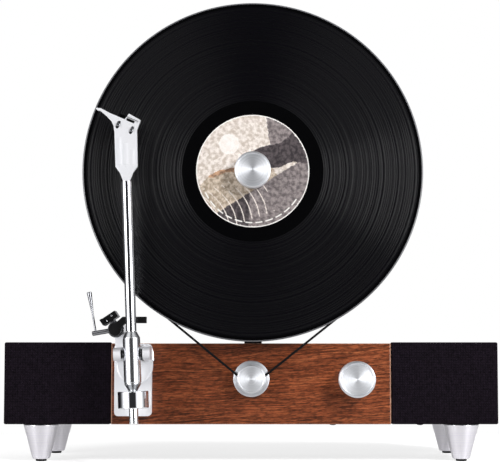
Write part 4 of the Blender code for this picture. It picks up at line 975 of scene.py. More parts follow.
@dataclass(frozen=True)
class Recess:
    """A step sunk in the middle of a front face: the face's place out, the border round it, and the depth."""

    out: float
    border: float
    depth: float

    def sink(self, bm: BMesh) -> None:
        """Sinks the middle of the faces that look at the viewer from that place out.

        Args:
            bm: the solid, before its edges are rounded.
        """
        plane = at(0.0, 0.0, self.out).y
        front = [f for f in bm.faces
                 if f.normal.y < -FRONT_FACING and abs(f.calc_center_median().y - plane) < SAME_PLANE]
        bmesh.ops.inset_region(bm, faces=front, thickness=self.border * MM, depth=-self.depth * MM,
                               use_even_offset=True)


def softened(node: str, finish: Finish, body: Body, edge: float, steps: int = 2,
             edge_finish: Finish | None = None, recess: Recess | None = None,
             cutters: Sequence[Mesh] = ()) -> bpy.types.Object:
    """Stands for a node with a copy whose sharp edges are rounded as a real part's are.

    Args:
        node: the node's name.
        finish: the piece's finish.
        body: the body that it moves with.
        edge: how far each edge is rounded, in millimetres.
        steps: how many faces a rounding has.
        edge_finish: the finish of all but the faces that look at the viewer or away, where it differs.
        recess: a step that is sunk in its front before the edges are rounded.
        cutters: closed meshes that are cut out of the copy first.

    Returns:
        The piece.
    """
    bm = bmesh.new()
    bm.from_mesh(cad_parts[node].data)
    bmesh.ops.remove_doubles(bm, verts=bm.verts, dist=MERGE_DISTANCE)
    bmesh.ops.dissolve_limit(bm, angle_limit=FLAT_ANGLE, verts=bm.verts, edges=bm.edges)
    if cutters:
        bm = carved(bm, cutters)
    if recess:
        recess.sink(bm)
    corners = [e for e in bm.edges if len(e.link_faces) == 2 and e.calc_face_angle(0.0) > EDGE_ANGLE]
    if corners:
        bmesh.ops.bevel(bm, geom=corners, offset=edge * MM, offset_type="OFFSET", segments=steps,
                        profile=0.5, affect="EDGES", clamp_overlap=True, harden_normals=False)
    bm.normal_update()
    turned_away = [abs(f.normal.y) < MAIN_FACING for f in bm.faces]
    piece = add_piece(f"{node}_piece", mesh_from(node, bm), finish, body, [node])
    if edge_finish and len(turned_away) == len(piece.data.polygons):
        piece.data.materials.append(edge_finish.material())
        piece.data.polygons.foreach_set("material_index", [int(away) for away in turned_away])
    return piece


def dress(node: str, finish: Finish) -> None:
    """Gives a node of the model its finish and leaves its mesh as it is.

    Args:
        node: the node's name.
        finish: the finish.
    """
    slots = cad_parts[node].data.materials
    if slots:
        slots[0] = finish.material()
    else:
        slots.append(finish.material())
    LOG.info("%s: the node itself, %s", node, finish.name)


def new_tree(name: str, sockets: dict[str, str]) -> tuple[Tree, dict[str, str]]:
    """Starts a Geometry Nodes tree with a mesh in, a mesh out and named inputs.

    Args:
        name: the tree's name.
        sockets: the type of each named input.

    Returns:
        The tree, and the identifier of each named input.
    """
    tree = bpy.data.node_groups.new(name, "GeometryNodeTree")
    tree.interface.new_socket("Geometry", in_out="INPUT", socket_type="NodeSocketGeometry")
    identifiers = {}
    for label, kind in sockets.items():
        identifiers[label] = tree.interface.new_socket(label, in_out="INPUT", socket_type=kind).identifier
    tree.interface.new_socket("Geometry", in_out="OUTPUT", socket_type="NodeSocketGeometry")
    return tree, identifiers


def grown(name: str, start: Mesh, tree: Tree, shape: Socket,
          finish: Finish, values: dict[str, object]) -> Mesh:
    """Ends a Geometry Nodes tree, runs it on a mesh and gives the result as a plain mesh.

    Args:
        name: the new mesh's name.
        start: the mesh that the tree works on.
        tree: the tree.
        shape: the output in it that holds the finished shape.
        finish: the finish that the tree sets.
        values: the value of each input, by its identifier.

    Returns:
        The plain mesh.
    """
    solid = add_node(tree, "GeometryNodeRealizeInstances", {0: shape}).outputs[0]
    dressed = add_node(tree, "GeometryNodeSetMaterial", {0: solid, "Material": finish.material()}).outputs[0]
    add_node(tree, "NodeGroupOutput", {"Geometry": dressed})
    holder = new_object(start.name, start)
    setter = holder.modifiers.new(name, "NODES")
    setter.node_group = tree
    for identifier, value in values.items():
        setter[identifier] = value
    mesh = bpy.data.meshes.new_from_object(holder.evaluated_get(bpy.context.evaluated_depsgraph_get()))
    mesh.name = name
    bpy.data.objects.remove(holder)
    return mesh


def scattered(name: str, places: Sequence[Vector], part: bpy.types.Object, finish: Finish,
              seed: int = 7) -> Mesh:
    """Repeats a small part on points by Geometry Nodes, each copy turned by chance.

    Args:
        name: the name of the tree and of the mesh.
        places: where the copies stand.
        part: the part, modelled round the origin.
        finish: the finish that the tree sets.
        seed: the seed of the turns.

    Returns:
        One plain mesh of all the copies.
    """
    tree, inputs = new_tree(name, {"Part": "NodeSocketObject", "Turn": "NodeSocketFloat"})
    given = add_node(tree, "NodeGroupInput").outputs
    copy = add_node(tree, "GeometryNodeObjectInfo", {"Object": given["Part"]}).outputs["Geometry"]
    angle = add_node(tree, "FunctionNodeRandomValue", {"Min": 0.0, "Max": given["Turn"], "Seed": seed},
                     data_type="FLOAT").outputs[1]
    turn = add_node(tree, "ShaderNodeCombineXYZ", {"Y": angle}).outputs[0]
    copies = add_node(tree, "GeometryNodeInstanceOnPoints", {
        "Points": given["Geometry"], "Instance": copy, "Rotation": turn}).outputs[0]
    points = bpy.data.meshes.new(f"{name}_points")
    points.from_pydata([tuple(p) for p in places], [], [])
    bpy.context.scene.collection.objects.link(part)
    mesh = grown(name, points, tree, copies, finish, {inputs["Part"]: part, inputs["Turn"]: math.tau})
    bpy.context.scene.collection.objects.unlink(part)
    return mesh


def along_path(name: str, points: Sequence[Vector], radius: float, finish: Finish, sides: int = 12) -> Mesh:
    """Runs a round section along a closed path by Geometry Nodes.

    Args:
        name: the name of the tree and of the mesh.
        points: the path's points.
        radius: the section's radius, in millimetres.
        finish: the finish that the tree sets.
        sides: how many sides the section has.

    Returns:
        One plain closed mesh.
    """
    tree, inputs = new_tree(name, {"Radius": "NodeSocketFloat"})
    given = add_node(tree, "NodeGroupInput").outputs
    path = add_node(tree, "GeometryNodeMeshToCurve", {"Mesh": given["Geometry"]}).outputs[0]
    section = add_node(tree, "GeometryNodeCurvePrimitiveCircle", {
        "Resolution": sides, "Radius": given["Radius"]}, mode="RADIUS").outputs[0]
    tube = add_node(tree, "GeometryNodeCurveToMesh", {0: path, "Profile Curve": section}).outputs[0]
    smooth = add_node(tree, "GeometryNodeSetShadeSmooth", {0: tube}).outputs[0]
    loop = bpy.data.meshes.new(f"{name}_path")
    loop.from_pydata([tuple(p) for p in points], [(i, (i + 1) % len(points)) for i in range(len(points))], [])
    bm = bmesh.new()
    bm.from_mesh(grown(name, loop, tree, smooth, finish, {inputs["Radius"]: radius * MM}))
    return mesh_from(name, bm)


class LampKind(Enum):
    """The kinds of lamp: a softbox lights what is matt and isn't mirrored, and a card only shows in gloss."""

    SOFTBOX = "softbox"
    CARD = "card"


@dataclass(frozen=True)
class Lamp:
    """A flat lamp, with its place, the point that it faces, its width and height, and its watts."""

    name: str
    kind: LampKind
    place: Place
    target: Place
    size: Span
    power: float

    def build(self) -> None:
        """Hangs the lamp in its place and turns it to its target."""
        data = bpy.data.lights.new(self.name, "AREA")
        data.shape = "RECTANGLE"
        data.size, data.size_y = self.size
        data.energy = self.power
        lamp = new_object(self.name, data)
        lamp.location = self.place
        lamp.visible_glossy = self.kind is LampKind.CARD
        lamp.visible_diffuse = self.kind is LampKind.SOFTBOX
        lamp.rotation_euler = (Vector(self.target) - Vector(self.place)).to_track_quat("-Z", "Y").to_euler()


@dataclass
class Studio:
    """Camera, lamps, floor and surroundings, in metres and degrees."""

    camera_place: Place = (0.0089, -1.1918, 0.1038)
    tilt: float = 3.5
    lens: float = 93.14
    film_width: float = 36.0
    shift: Span = (-0.0222, 0.0679)

    lamps: tuple[Lamp, ...] = (
        Lamp("right_softbox", LampKind.SOFTBOX, (0.95, -1.0, 0.95), (0.0, 0.0, 0.2), (0.35, 0.5), 22.0),
        Lamp("left_softbox", LampKind.SOFTBOX, (-1.05, -0.9, 0.55), (0.0, 0.0, 0.15), (0.5, 0.9), 8.0),
        Lamp("rear_softbox", LampKind.SOFTBOX, (0.45, 1.2, 0.8), (0.0, 0.0, 0.15), (0.7, 0.7), 4.0),
        Lamp("right_card", LampKind.CARD, (0.95, -0.9, 0.3), (0.0, 0.0, 0.17), (0.5, 0.7), 12.0),
        Lamp("left_card", LampKind.CARD, (-1.0, -0.85, 0.25), (0.0, 0.0, 0.17), (0.5, 0.7), 8.0))

    # The walls, from behind the camera at 0 round either side to behind the player at 1
    walls: Stops = ((0.0, "#29292b"), (0.125, "#2b2b2d"), (0.17, "#fcfcfe"), (0.4, "#ffffff"),
                    (0.47, "#b4b4b7"), (0.54, "#4a4a4c"), (0.64, "#1a1a1b"), (0.76, "#0e0e0f"),
                    (0.88, "#0e0e0f"), (0.94, "#e0e0e3"))

    # Between these heights the walls dim to this share. A height is how far a way of length 1 rises
    dim_between: Span = (0.4, 0.9)
    dim_share: float = 0.35

    # A white band overhead, by height, and where it starts towards the camera and to either side of it
    overhead: Stops = ((0.16, "#000000"), (0.34, "#f0f0f0"), (0.7, "#f0f0f0"), (0.92, "#000000"))
    band_ahead: Span = (0.2, 0.6)
    band_beside: Span = (0.07, 0.22)

    # Below the horizon the room turns to a pale grey, up to this share
    low_between: Span = (-0.12, -0.4)
    low_share: float = 0.55
    low_colour: str = "#e0e0e0"

    # How bright the room is for light that falls on the player, and for what mirrors in it
    room_strengths: Span = (0.45, 1.2)

    # The floor's paper, and its glow from near to far: for the camera, and in what mirrors it
    floor_reach: float = 0.42
    floor_colour: str = "#bcbcbc"
    floor_roughness: float = 0.9
    floor_specular: float = 0.1
    seen_between: Span = (0.2, 0.4)
    seen_glow: Span = (0.76, 1.0)
    mirrored_between: Span = (0.2, 0.42)
    mirrored_glow: Span = (0.32, 0.45)

    def build(self) -> None:
        """Builds the studio."""
        self.build_camera()
        self.build_surroundings()
        self.build_floor()
        for lamp in self.lamps:
            lamp.build()
        LOG.info("studio: camera, floor, surroundings, three softboxes and two cards")

    def build_camera(self) -> None:
        """Places the camera where the photograph was taken from."""
        data = bpy.data.cameras.new("photo_camera")
        data.sensor_width = self.film_width
        data.lens = self.lens
        data.shift_x, data.shift_y = self.shift
        camera = new_object("photo_camera", data)
        camera.location = self.camera_place
        camera.rotation_euler = (math.radians(90 + self.tilt), 0.0, 0.0)
        bpy.context.scene.camera = camera
        bpy.context.scene.view_settings.view_transform = "Standard"

    def build_surroundings(self) -> None:
        """Makes a room that is white for the camera, and pale walls with a dark gap for what mirrors them."""
        world = bpy.data.worlds.new("white_room")
        bpy.context.scene.world = world
        world.use_nodes = True
        tree = world.node_tree
        tree.nodes.clear()
        room = self.room_colour(tree)
        rays = add_node(tree, "ShaderNodeLightPath").outputs
        strength = add_node(tree, "ShaderNodeMapRange",
                            ranged(rays["Is Glossy Ray"], to=self.room_strengths)).outputs[0]
        around = add_node(tree, "ShaderNodeBackground", {"Color": room, "Strength": strength}).outputs[0]
        white = add_node(tree, "ShaderNodeBackground",
                         {"Color": linear("#ffffff"), "Strength": 1.0}).outputs[0]
        seen = add_node(tree, "ShaderNodeMixShader",
                        {0: rays["Is Camera Ray"], 1: around, 2: white}).outputs[0]
        add_node(tree, "ShaderNodeOutputWorld", {"Surface": seen})

    def room_colour(self, tree: Tree) -> Socket:
        """Adds the room's colour by the way that it is looked at.

        Args:
            tree: the world's node tree.

        Returns:
            The colour.
        """
        way = add_node(tree, "ShaderNodeTexCoord").outputs["Generated"]
        parts = add_node(tree, "ShaderNodeSeparateXYZ", {0: way}).outputs
        aside = add_node(tree, "ShaderNodeMath", {0: parts["X"]}, operation="ABSOLUTE").outputs[0]
        ahead = add_node(tree, "ShaderNodeMath", {0: parts["Y"], 1: -1.0}, operation="MULTIPLY").outputs[0]
        turn = add_node(tree, "ShaderNodeMath", {0: aside, 1: ahead}, operation="ARCTAN2").outputs[0]
        share = add_node(tree, "ShaderNodeMath", {0: turn, 1: math.pi}, operation="DIVIDE").outputs[0]
        walls = add_node(tree, "ShaderNodeValToRGB", {0: share}, self.walls).outputs["Color"]
        high = add_node(tree, "ShaderNodeMapRange",
                        ranged(parts["Z"], self.dim_between, (1.0, self.dim_share))).outputs[0]
        dimmed = add_node(tree, "ShaderNodeVectorMath", {0: walls, 3: high}, operation="SCALE").outputs[0]
        band = add_node(tree, "ShaderNodeValToRGB", {0: parts["Z"]}, self.overhead).outputs["Color"]
        facing = add_node(tree, "ShaderNodeMapRange", ranged(ahead, self.band_ahead)).outputs[0]
        beside = add_node(tree, "ShaderNodeMapRange", ranged(aside, self.band_beside)).outputs[0]
        around = add_node(tree, "ShaderNodeMath", {0: facing, 1: beside}, operation="MULTIPLY").outputs[0]
        lifted = add_node(tree, "ShaderNodeMath", {0: band, 1: around}, operation="MULTIPLY").outputs[0]
        lit = add_node(tree, "ShaderNodeMix", {0: lifted, 6: dimmed, 7: linear("#ffffff")},
                       data_type="RGBA").outputs[2]
        low = add_node(tree, "ShaderNodeMapRange",
                       ranged(parts["Z"], self.low_between, (0.0, self.low_share))).outputs[0]
        return add_node(tree, "ShaderNodeMix", {0: low, 6: lit, 7: linear(self.low_colour)},
                        data_type="RGBA").outputs[2]

    def build_floor(self) -> None:
        """Lays a pale round floor that keeps the shadow and fades into the white room."""
        bm = bmesh.new()
        bmesh.ops.create_circle(bm, cap_ends=True, segments=96, radius=self.floor_reach)
        floor = new_object("studio_floor", mesh_from("studio_floor", bm))
        paint = bpy.data.materials.new("white_studio_paper")
        paint.use_nodes = True
        tree = paint.node_tree
        tree.nodes.clear()
        place = add_node(tree, "ShaderNodeTexCoord").outputs["Object"]
        away = add_node(tree, "ShaderNodeVectorMath", {0: place}, operation="LENGTH").outputs["Value"]
        glows = []
        for between, glow in ((self.seen_between, self.seen_glow),
                              (self.mirrored_between, self.mirrored_glow)):
            glows.append(add_node(tree, "ShaderNodeMapRange", ranged(away, between, glow)).outputs[0])
        rays = add_node(tree, "ShaderNodeLightPath").outputs
        mirrored = add_node(tree, "ShaderNodeMath", {
            0: rays["Is Glossy Ray"], 1: rays["Is Transmission Ray"]}, operation="MAXIMUM").outputs[0]
        in_gloss = add_node(tree, "ShaderNodeMath", {0: mirrored, 1: glows[1]},
                            operation="MULTIPLY").outputs[0]
        glow = add_node(tree, "ShaderNodeMix", {0: rays["Is Camera Ray"], 2: in_gloss, 3: glows[0]},
                        data_type="FLOAT").outputs[0]
        paper = add_node(tree, "ShaderNodeBsdfPrincipled", {
            "Base Color": linear(self.floor_colour), "Roughness": self.floor_roughness,
            "Specular IOR Level": self.floor_specular, "Emission Color": linear("#ffffff"),
            "Emission Strength": glow}).outputs[0]
        add_node(tree, "ShaderNodeOutputMaterial", {"Surface": paper})
        floor.data.materials.append(paint)


@dataclass
class Cabinet:
    """The long low box: a walnut panel between the grilles, and black boards round it."""

    board_edge: float = 0.5
    panel_edge: float = 0.5
    inlet_edge: float = 0.3
    column_edge: float = 0.6

    # A button: its cap with a dome, given by angles over it, its flange inside the cabinet, and its stem
    cap_radius: float = 3.6
    dome_rise: float = 1.5
    dome_angles: tuple[float, ...] = (0.0, 0.35, 0.7, 1.05, 1.35, math.pi / 2)
    flange_heights: Span = (9.1, 10.6)
    stem_radius: float = 1.4

    # A rear screw: how far its head is let in, its shoulder, its crown and its socket, as radius and height
    screw_radius: float = 2.7
    screw_sunk: float = 0.4
    shoulder_share: float = 0.93
    shoulder_height: float = 0.35
    screw_crown: Span = (1.0, 1.15)
    screw_socket: Span = (0.55, 0.45)
    screw_rounding: float = 0.3
    screw_rows: Span = (46.5, 92.5)
    screw_columns: tuple[float, ...] = (-204.0, -68.0, 68.0, 204.0)

    def build(self) -> None:
        """Builds the boards, what stands inside the box, and the fittings behind and below it."""
        for node in ("top_board", "bottom_board", "left_end_panel", "right_end_panel", "front_baffle",
                     "rear_panel"):
            softened(node, FINISHES.lacquer, Body.CABINET, self.board_edge)
        # The panel's edges and chamfers take a paler walnut, a painted highlight for the light that they
        # catch
        softened("front_panel", FINISHES.walnut, Body.CABINET, self.panel_edge,
                 edge_finish=FINISHES.painted_edge_highlight)
        softened("power_inlet", FINISHES.moulded, Body.CABINET, self.inlet_edge)
        softened("column", FINISHES.black_metal, Body.CABINET, self.column_edge, 3)
        for node in ("amplifier_board", "button_board"):
            dress(node, FINISHES.circuit)
        for side in Side:
            dress(f"{side.value}_driver_frame", FINISHES.black_metal)
            dress(f"{side.value}_speaker_cone", FINISHES.cone)
        for node in ("motor", "volume_potentiometer"):
            dress(node, FINISHES.steel)
        for body in (Body.POWER_BUTTON, Body.SOURCE_BUTTON):
            self.build_button(body)
        self.build_rear_screws()

    def build_button(self, body: Body) -> None:
        """Turns one of the two domed push buttons that stick out below the base.

        Args:
            body: the button's body, which has its node's name.
        """
        name = body.value
        low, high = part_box(name)
        middle = (low + high) / 2
        axis = Axis(Vector((middle.x, middle.y, low.z)), UPWARDS)
        rise, flange = (high.z - low.z) / MM, (high.x - low.x) / 2 / MM
        bottom, top = self.flange_heights
        cap, stem = self.cap_radius, self.stem_radius
        dome = [(cap * math.sin(t), self.dome_rise * (1 - math.cos(t))) for t in self.dome_angles]
        profile = dome + [(cap, bottom), (flange, bottom), (flange, top), (stem, top), (stem, rise),
                          (0.0, rise)]
        add_piece(f"{name}_piece", lathe(name, profile, axis, 48), FINISHES.rubber, body, [name])

    def build_rear_screws(self) -> None:
        """Sets two rows of domed socket screws in the rear panel, each one an instance on a point."""
        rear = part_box("rear_panel")[1].y
        radius, sunk = self.screw_radius, -self.screw_sunk
        profile = [(0.0, sunk), (radius, sunk), (radius * self.shoulder_share, self.shoulder_height),
                   self.screw_crown, self.screw_socket, (0.0, self.screw_socket[1])]
        head = lathe("rear_screw_head", eased(profile, self.screw_rounding),
                     Axis(ORIGIN, AWAY_FROM_VIEWER), 20)
        holder = bpy.data.objects.new("rear_screw_head", head)
        places = [Vector((x * MM, rear, z * MM)) for z in self.screw_rows for x in self.screw_columns]
        mesh = scattered("rear_screws", places, holder, FINISHES.steel)
        add_piece("rear_screws", mesh, FINISHES.steel, Body.CABINET)
        bpy.data.objects.remove(holder)


@dataclass
class Grilles:
    """The two speaker grilles: a black panel with cloth stretched over it and round its four edges."""

    cloth_corner: float = 1.5
    least_corner: float = 0.8
    corner_steps: int = 6
    cloth_depth: float = 9.0
    cloth_thickness: float = 0.6
    front_edge: float = 1.1
    edge_steps: int = 5

    def build(self) -> None:
        """Builds both grilles."""
        for side in Side:
            dress(f"{side.value}_grille_panel", FINISHES.moulded)
            self.build_cloth(side)

    def build_cloth(self, side: Side) -> None:
        """Stretches the cloth over one panel: a front with a soft edge, and four wraps.

        Args:
            side: the grille's side.
        """
        node = f"{side.value}_grille_cloth"
        low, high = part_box(node)
        width, height = (high.x - low.x) / MM, (high.z - low.z) / MM
        middle = ((low.x + high.x) / 2 / MM, (low.z + high.z) / 2 / MM)
        angles = [math.pi / 2 * i / self.edge_steps for i in range(self.edge_steps + 1)]
        rounding = [(self.front_edge * (1 - math.sin(a)), -self.front_edge * (1 - math.cos(a)))
                    for a in angles]
        outside = rounding + [(0.0, -self.cloth_depth)]
        inside = [(self.cloth_thickness, -self.cloth_depth), (self.cloth_thickness, -self.cloth_thickness)]
        bm = bmesh.new()
        rows = [[bm.verts.new(at(x, z, out)) for x, z in self.outline(width, height, inset, middle)]
                for inset, out in outside + inside]
        walled(bm, rows)
        bm.faces.new(rows[0])
        bm.faces.new(rows[-1])
        piece = add_piece(f"{node}_piece", mesh_from(f"{side.value}_cloth", bm), FINISHES.weave, Body.CABINET,
                          [node])

    def outline(self, width: float, height: float, inset: float,
                middle: tuple[float, float]) -> list[tuple[float, float]]:
        """Gives the cloth's outline with rounded corners.

        Args:
            width: the outline's full width.
            height: its full height.
            inset: how far inside that it runs.
            middle: its centre.

        Returns:
            The points of the outline.
        """
        half_w, half_h = width / 2 - inset, height / 2 - inset
        corner = max(self.cloth_corner - inset, self.least_corner)
        points = []
        for turn, (sx, sz) in enumerate(((1, 1), (-1, 1), (-1, -1), (1, -1))):
            for step in range(self.corner_steps + 1):
                a = math.pi / 2 * (turn + step / self.corner_steps)
                points.append((middle[0] + sx * (half_w - corner) + corner * math.cos(a),
                               middle[1] + sz * (half_h - corner) + corner * math.sin(a)))
        return points


@dataclass
class Feet:
    """Four turned aluminium cones, each with a threaded stud and a rubber pad."""

    top_radius: float = 16.0
    low_radius: float = 7.9
    seat: float = 33.5
    chamfer: float = 0.9
    rim_chamfer: float = 0.7
    rim_inset: float = 0.1
    taper_margin: float = 1.7
    rounding: float = 0.35
    stud_radius: float = 3.0
    pad_chamfer: Span = (0.4, 0.45)

    def build(self) -> None:
        """Builds the feet and their pads."""
        for row in Row:
            for side in Side:
                self.build_foot(f"{row.value}_{side.value}_foot")

    def build_foot(self, node: str) -> None:
        """Turns one foot with its threaded stud, and its pad.

        Args:
            node: the foot's node.
        """
        low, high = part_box(node)
        axis = Axis(Vector(((low.x + high.x) / 2, (low.y + high.y) / 2, 0.0)), UPWARDS)
        base, seat, top = low.z / MM, self.seat, high.z / MM
        taper = (self.top_radius - self.low_radius) / (seat - base - self.taper_margin)
        cone = [(0.0, base), (self.low_radius - self.chamfer, base), (self.low_radius, base + self.chamfer),
                (self.top_radius - self.rim_inset * taper, seat - self.chamfer),
                (self.top_radius - self.rim_chamfer, seat), (self.stud_radius, seat),
                (self.stud_radius, top), (0.0, top)]

        # Finely turned aluminium, etched to a silky near-white
        finish = Spun(f"turned_foot_{node}", Slot.SPUN_ALUMINIUM, axis, colour="#fdfbff",
                      shadow_colour="#f4f1fb", roughness=0.3, drawn_out=0.45, ring_strength=0.004)
        add_piece(f"{node}_piece", lathe(node, eased(cone, self.rounding), axis), finish, Body.CABINET,
                  [node])
        low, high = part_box(f"{node}_pad")
        radius, thick = (high.x - low.x) / 2 / MM, (high.z - low.z) / MM
        inset, rise = self.pad_chamfer
        pad = [(0.0, 0.0), (radius - inset, 0.0), (radius, rise), (radius, thick), (0.0, thick)]
        add_piece(f"{node}_pad_piece", lathe(f"{node}_pad", pad, axis, 48), FINISHES.rubber, Body.CABINET,
                  [f"{node}_pad"])


@dataclass(frozen=True)
class Ground:
    """A field of the print above a wavy foot, parted in two inks by a slanting line.

    Its foot is a height with a slope and a swell of some wavelength. The line is a place with a lean.
    """

    foot: float
    slope: float
    swell: float
    wave: float
    parting: float
    lean: float
    left: tuple[str, str]
    right: tuple[str, str]


@dataclass
class LabelPrint:
    """A made-up print for the label: hills and a pale sun in mottled cream, charcoal and tan, and strokes."""

    radius: float = 50.0
    hole: float = 3.8
    margin: float = 1.1
    rings: int = 84
    spokes: int = 420

    # Each ink is a light and a dark tone that the print's mottle mixes
    paper: str = "#f6f3ef"
    cream: tuple[str, str] = ("#f2e9e2", "#c6b8ac")
    sand: tuple[str, str] = ("#d6c6b4", "#9a8976")
    tan: tuple[str, str] = ("#cba282", "#876a56")
    smoke: tuple[str, str] = ("#9b9190", "#645c5d")
    charcoal: tuple[str, str] = ("#5a5254", "#2f2a2d")

    # The fields from the top down
    grounds: tuple[Ground, ...] = (
        Ground(13.0, 0.16, 2.5, 7.0, 19.0, 0.2, cream, smoke),
        Ground(1.0, -0.2, 1.5, 4.5, -12.0, 0.0, tan, charcoal),
        Ground(-15.0, 0.22, 0.0, 1.0, 16.0, -0.3, sand, cream),
        Ground(-math.inf, 0.0, 0.0, 1.0, -2.0, 0.4, charcoal, smoke))

    # The whole picture leans: the sine and cosine of its angle
    picture_lean: Span = (0.34, 0.94)

    # Mottle and torn edges: noise of this many waves to a millimetre, each with how fast its finer waves
    # weaken, how much finer each next set is, and how many sets there are
    waves: float = 0.3
    tear_noise: tuple[float, float, int] = (1.0, 2.0, 3)
    mottle_noise: tuple[float, float, int] = (0.7, 2.1, 6)
    mottle_shift: Place = (9.0, 4.0, 2.0)
    mottle_middle: float = 0.5
    mottle_contrast: float = 1.15
    tear: float = 0.7

    # A broken ring near the rim: its radii, its arc in degrees, and the sine below which it breaks
    ring_between: Span = (45.4, 46.5)
    ring_arc: Span = (200.0, 330.0)
    ring_waves: float = 0.55
    ring_break: float = -0.55

    sun: Span = (-21.0, 24.0)
    sun_radius: float = 9.0

    # Bowed strokes at the foot: spacing, start, bow, half width, the field that they grow in, and their tone
    stroke_gap: float = 7.0
    stroke_start: float = 21.0
    stroke_bow: float = 0.012
    stroke_foot: float = 30.0
    stroke_half: float = 0.42
    stroke_heights: Span = (-40.0, -6.0)
    stroke_swell: float = 5.0
    stroke_end: float = 6.0
    stroke_light: float = 0.8

    def colour(self, x: float, z: float) -> Colour:
        """Gives the print's colour at a point.

        Args:
            x: how far right of the label's middle, in millimetres.
            z: how far above it.

        Returns:
            The linear colour.
        """
        reach, turn = math.hypot(x, z), math.degrees(math.atan2(z, x)) % 360
        in_ring = (self.ring_between[0] < reach < self.ring_between[1]
                   and self.ring_arc[0] < turn < self.ring_arc[1]
                   and math.sin(turn * self.ring_waves) > self.ring_break)
        if reach > self.radius - self.margin or in_ring:
            return linear(self.paper)
        place = Vector((x, z, 0.0)) * self.waves
        torn = self.tear * noise.fractal(place, *self.tear_noise)
        mottle = noise.fractal(place + Vector(self.mottle_shift), *self.mottle_noise)
        light = min(max(self.mottle_middle + self.mottle_contrast * mottle, 0.0), 1.0)
        sine, cosine = self.picture_lean
        along, rise = cosine * x + sine * z, cosine * z - sine * x
        inks = self.inks(x, z, along, rise, torn)
        bowed = along + self.stroke_start + self.stroke_bow * (rise + self.stroke_foot) ** 2
        off = abs(bowed - self.stroke_gap * round(bowed / self.stroke_gap))
        top = self.stroke_heights[1] + self.stroke_swell * math.sin(along)
        if off < self.stroke_half and self.stroke_heights[0] < rise < top and along < self.stroke_end:
            inks, light = self.cream, self.stroke_light
        return tuple(Vector(linear(inks[1])).lerp(Vector(linear(inks[0])), light))

    def inks(self, x: float, z: float, along: float, rise: float, torn: float) -> tuple[str, str]:
        """Finds the ink of the sun or of the field that a point lies in.

        Args:
            x: how far right of the label's middle, in millimetres.
            z: how far above it.
            along: the point's place along the leaning picture.
            rise: its height in it.
            torn: how far the fields' edges are torn there.

        Returns:
            The ink's light and dark tone.
        """
        if math.hypot(x - self.sun[0], z - self.sun[1]) < self.sun_radius:
            return self.paper, self.cream[0]
        for ground in self.grounds:
            swell = ground.swell * math.sin(along / ground.wave)
            if rise > ground.foot + ground.slope * along + swell + torn:
                break
        is_left = along < ground.parting + ground.lean * rise + torn
        return ground.left if is_left else ground.right

    def mesh(self, middle: tuple[float, float], rear: float, front: float) -> Mesh:
        """Builds the label as a thin disc whose front carries the print.

        Args:
            middle: its centre, across and up, in millimetres.
            rear: how far out its back is.
            front: how far out its front is.

        Returns:
            The mesh, with the colours in the attribute that the paper reads.
        """
        bm = bmesh.new()
        print_layer = bm.verts.layers.float_color.new("print")
        steps = [self.hole + (self.radius - self.hole) * i / self.rings for i in range(self.rings + 1)]
        plan = [(self.hole, rear)] + [(reach, front) for reach in steps] + [(self.radius, rear)]
        rows = []
        for reach, out in plan:
            row = []
            for i in range(self.spokes):
                a = math.tau * i / self.spokes
                x, z = reach * math.cos(a), reach * math.sin(a)
                vert = bm.verts.new(at(middle[0] + x, middle[1] + z, out))
                vert[print_layer] = self.colour(x, z)
                row.append(vert)
            rows.append(row)
        walled(bm, rows + rows[:1])
        return mesh_from("printed_label", bm, JOINED_CREASE)


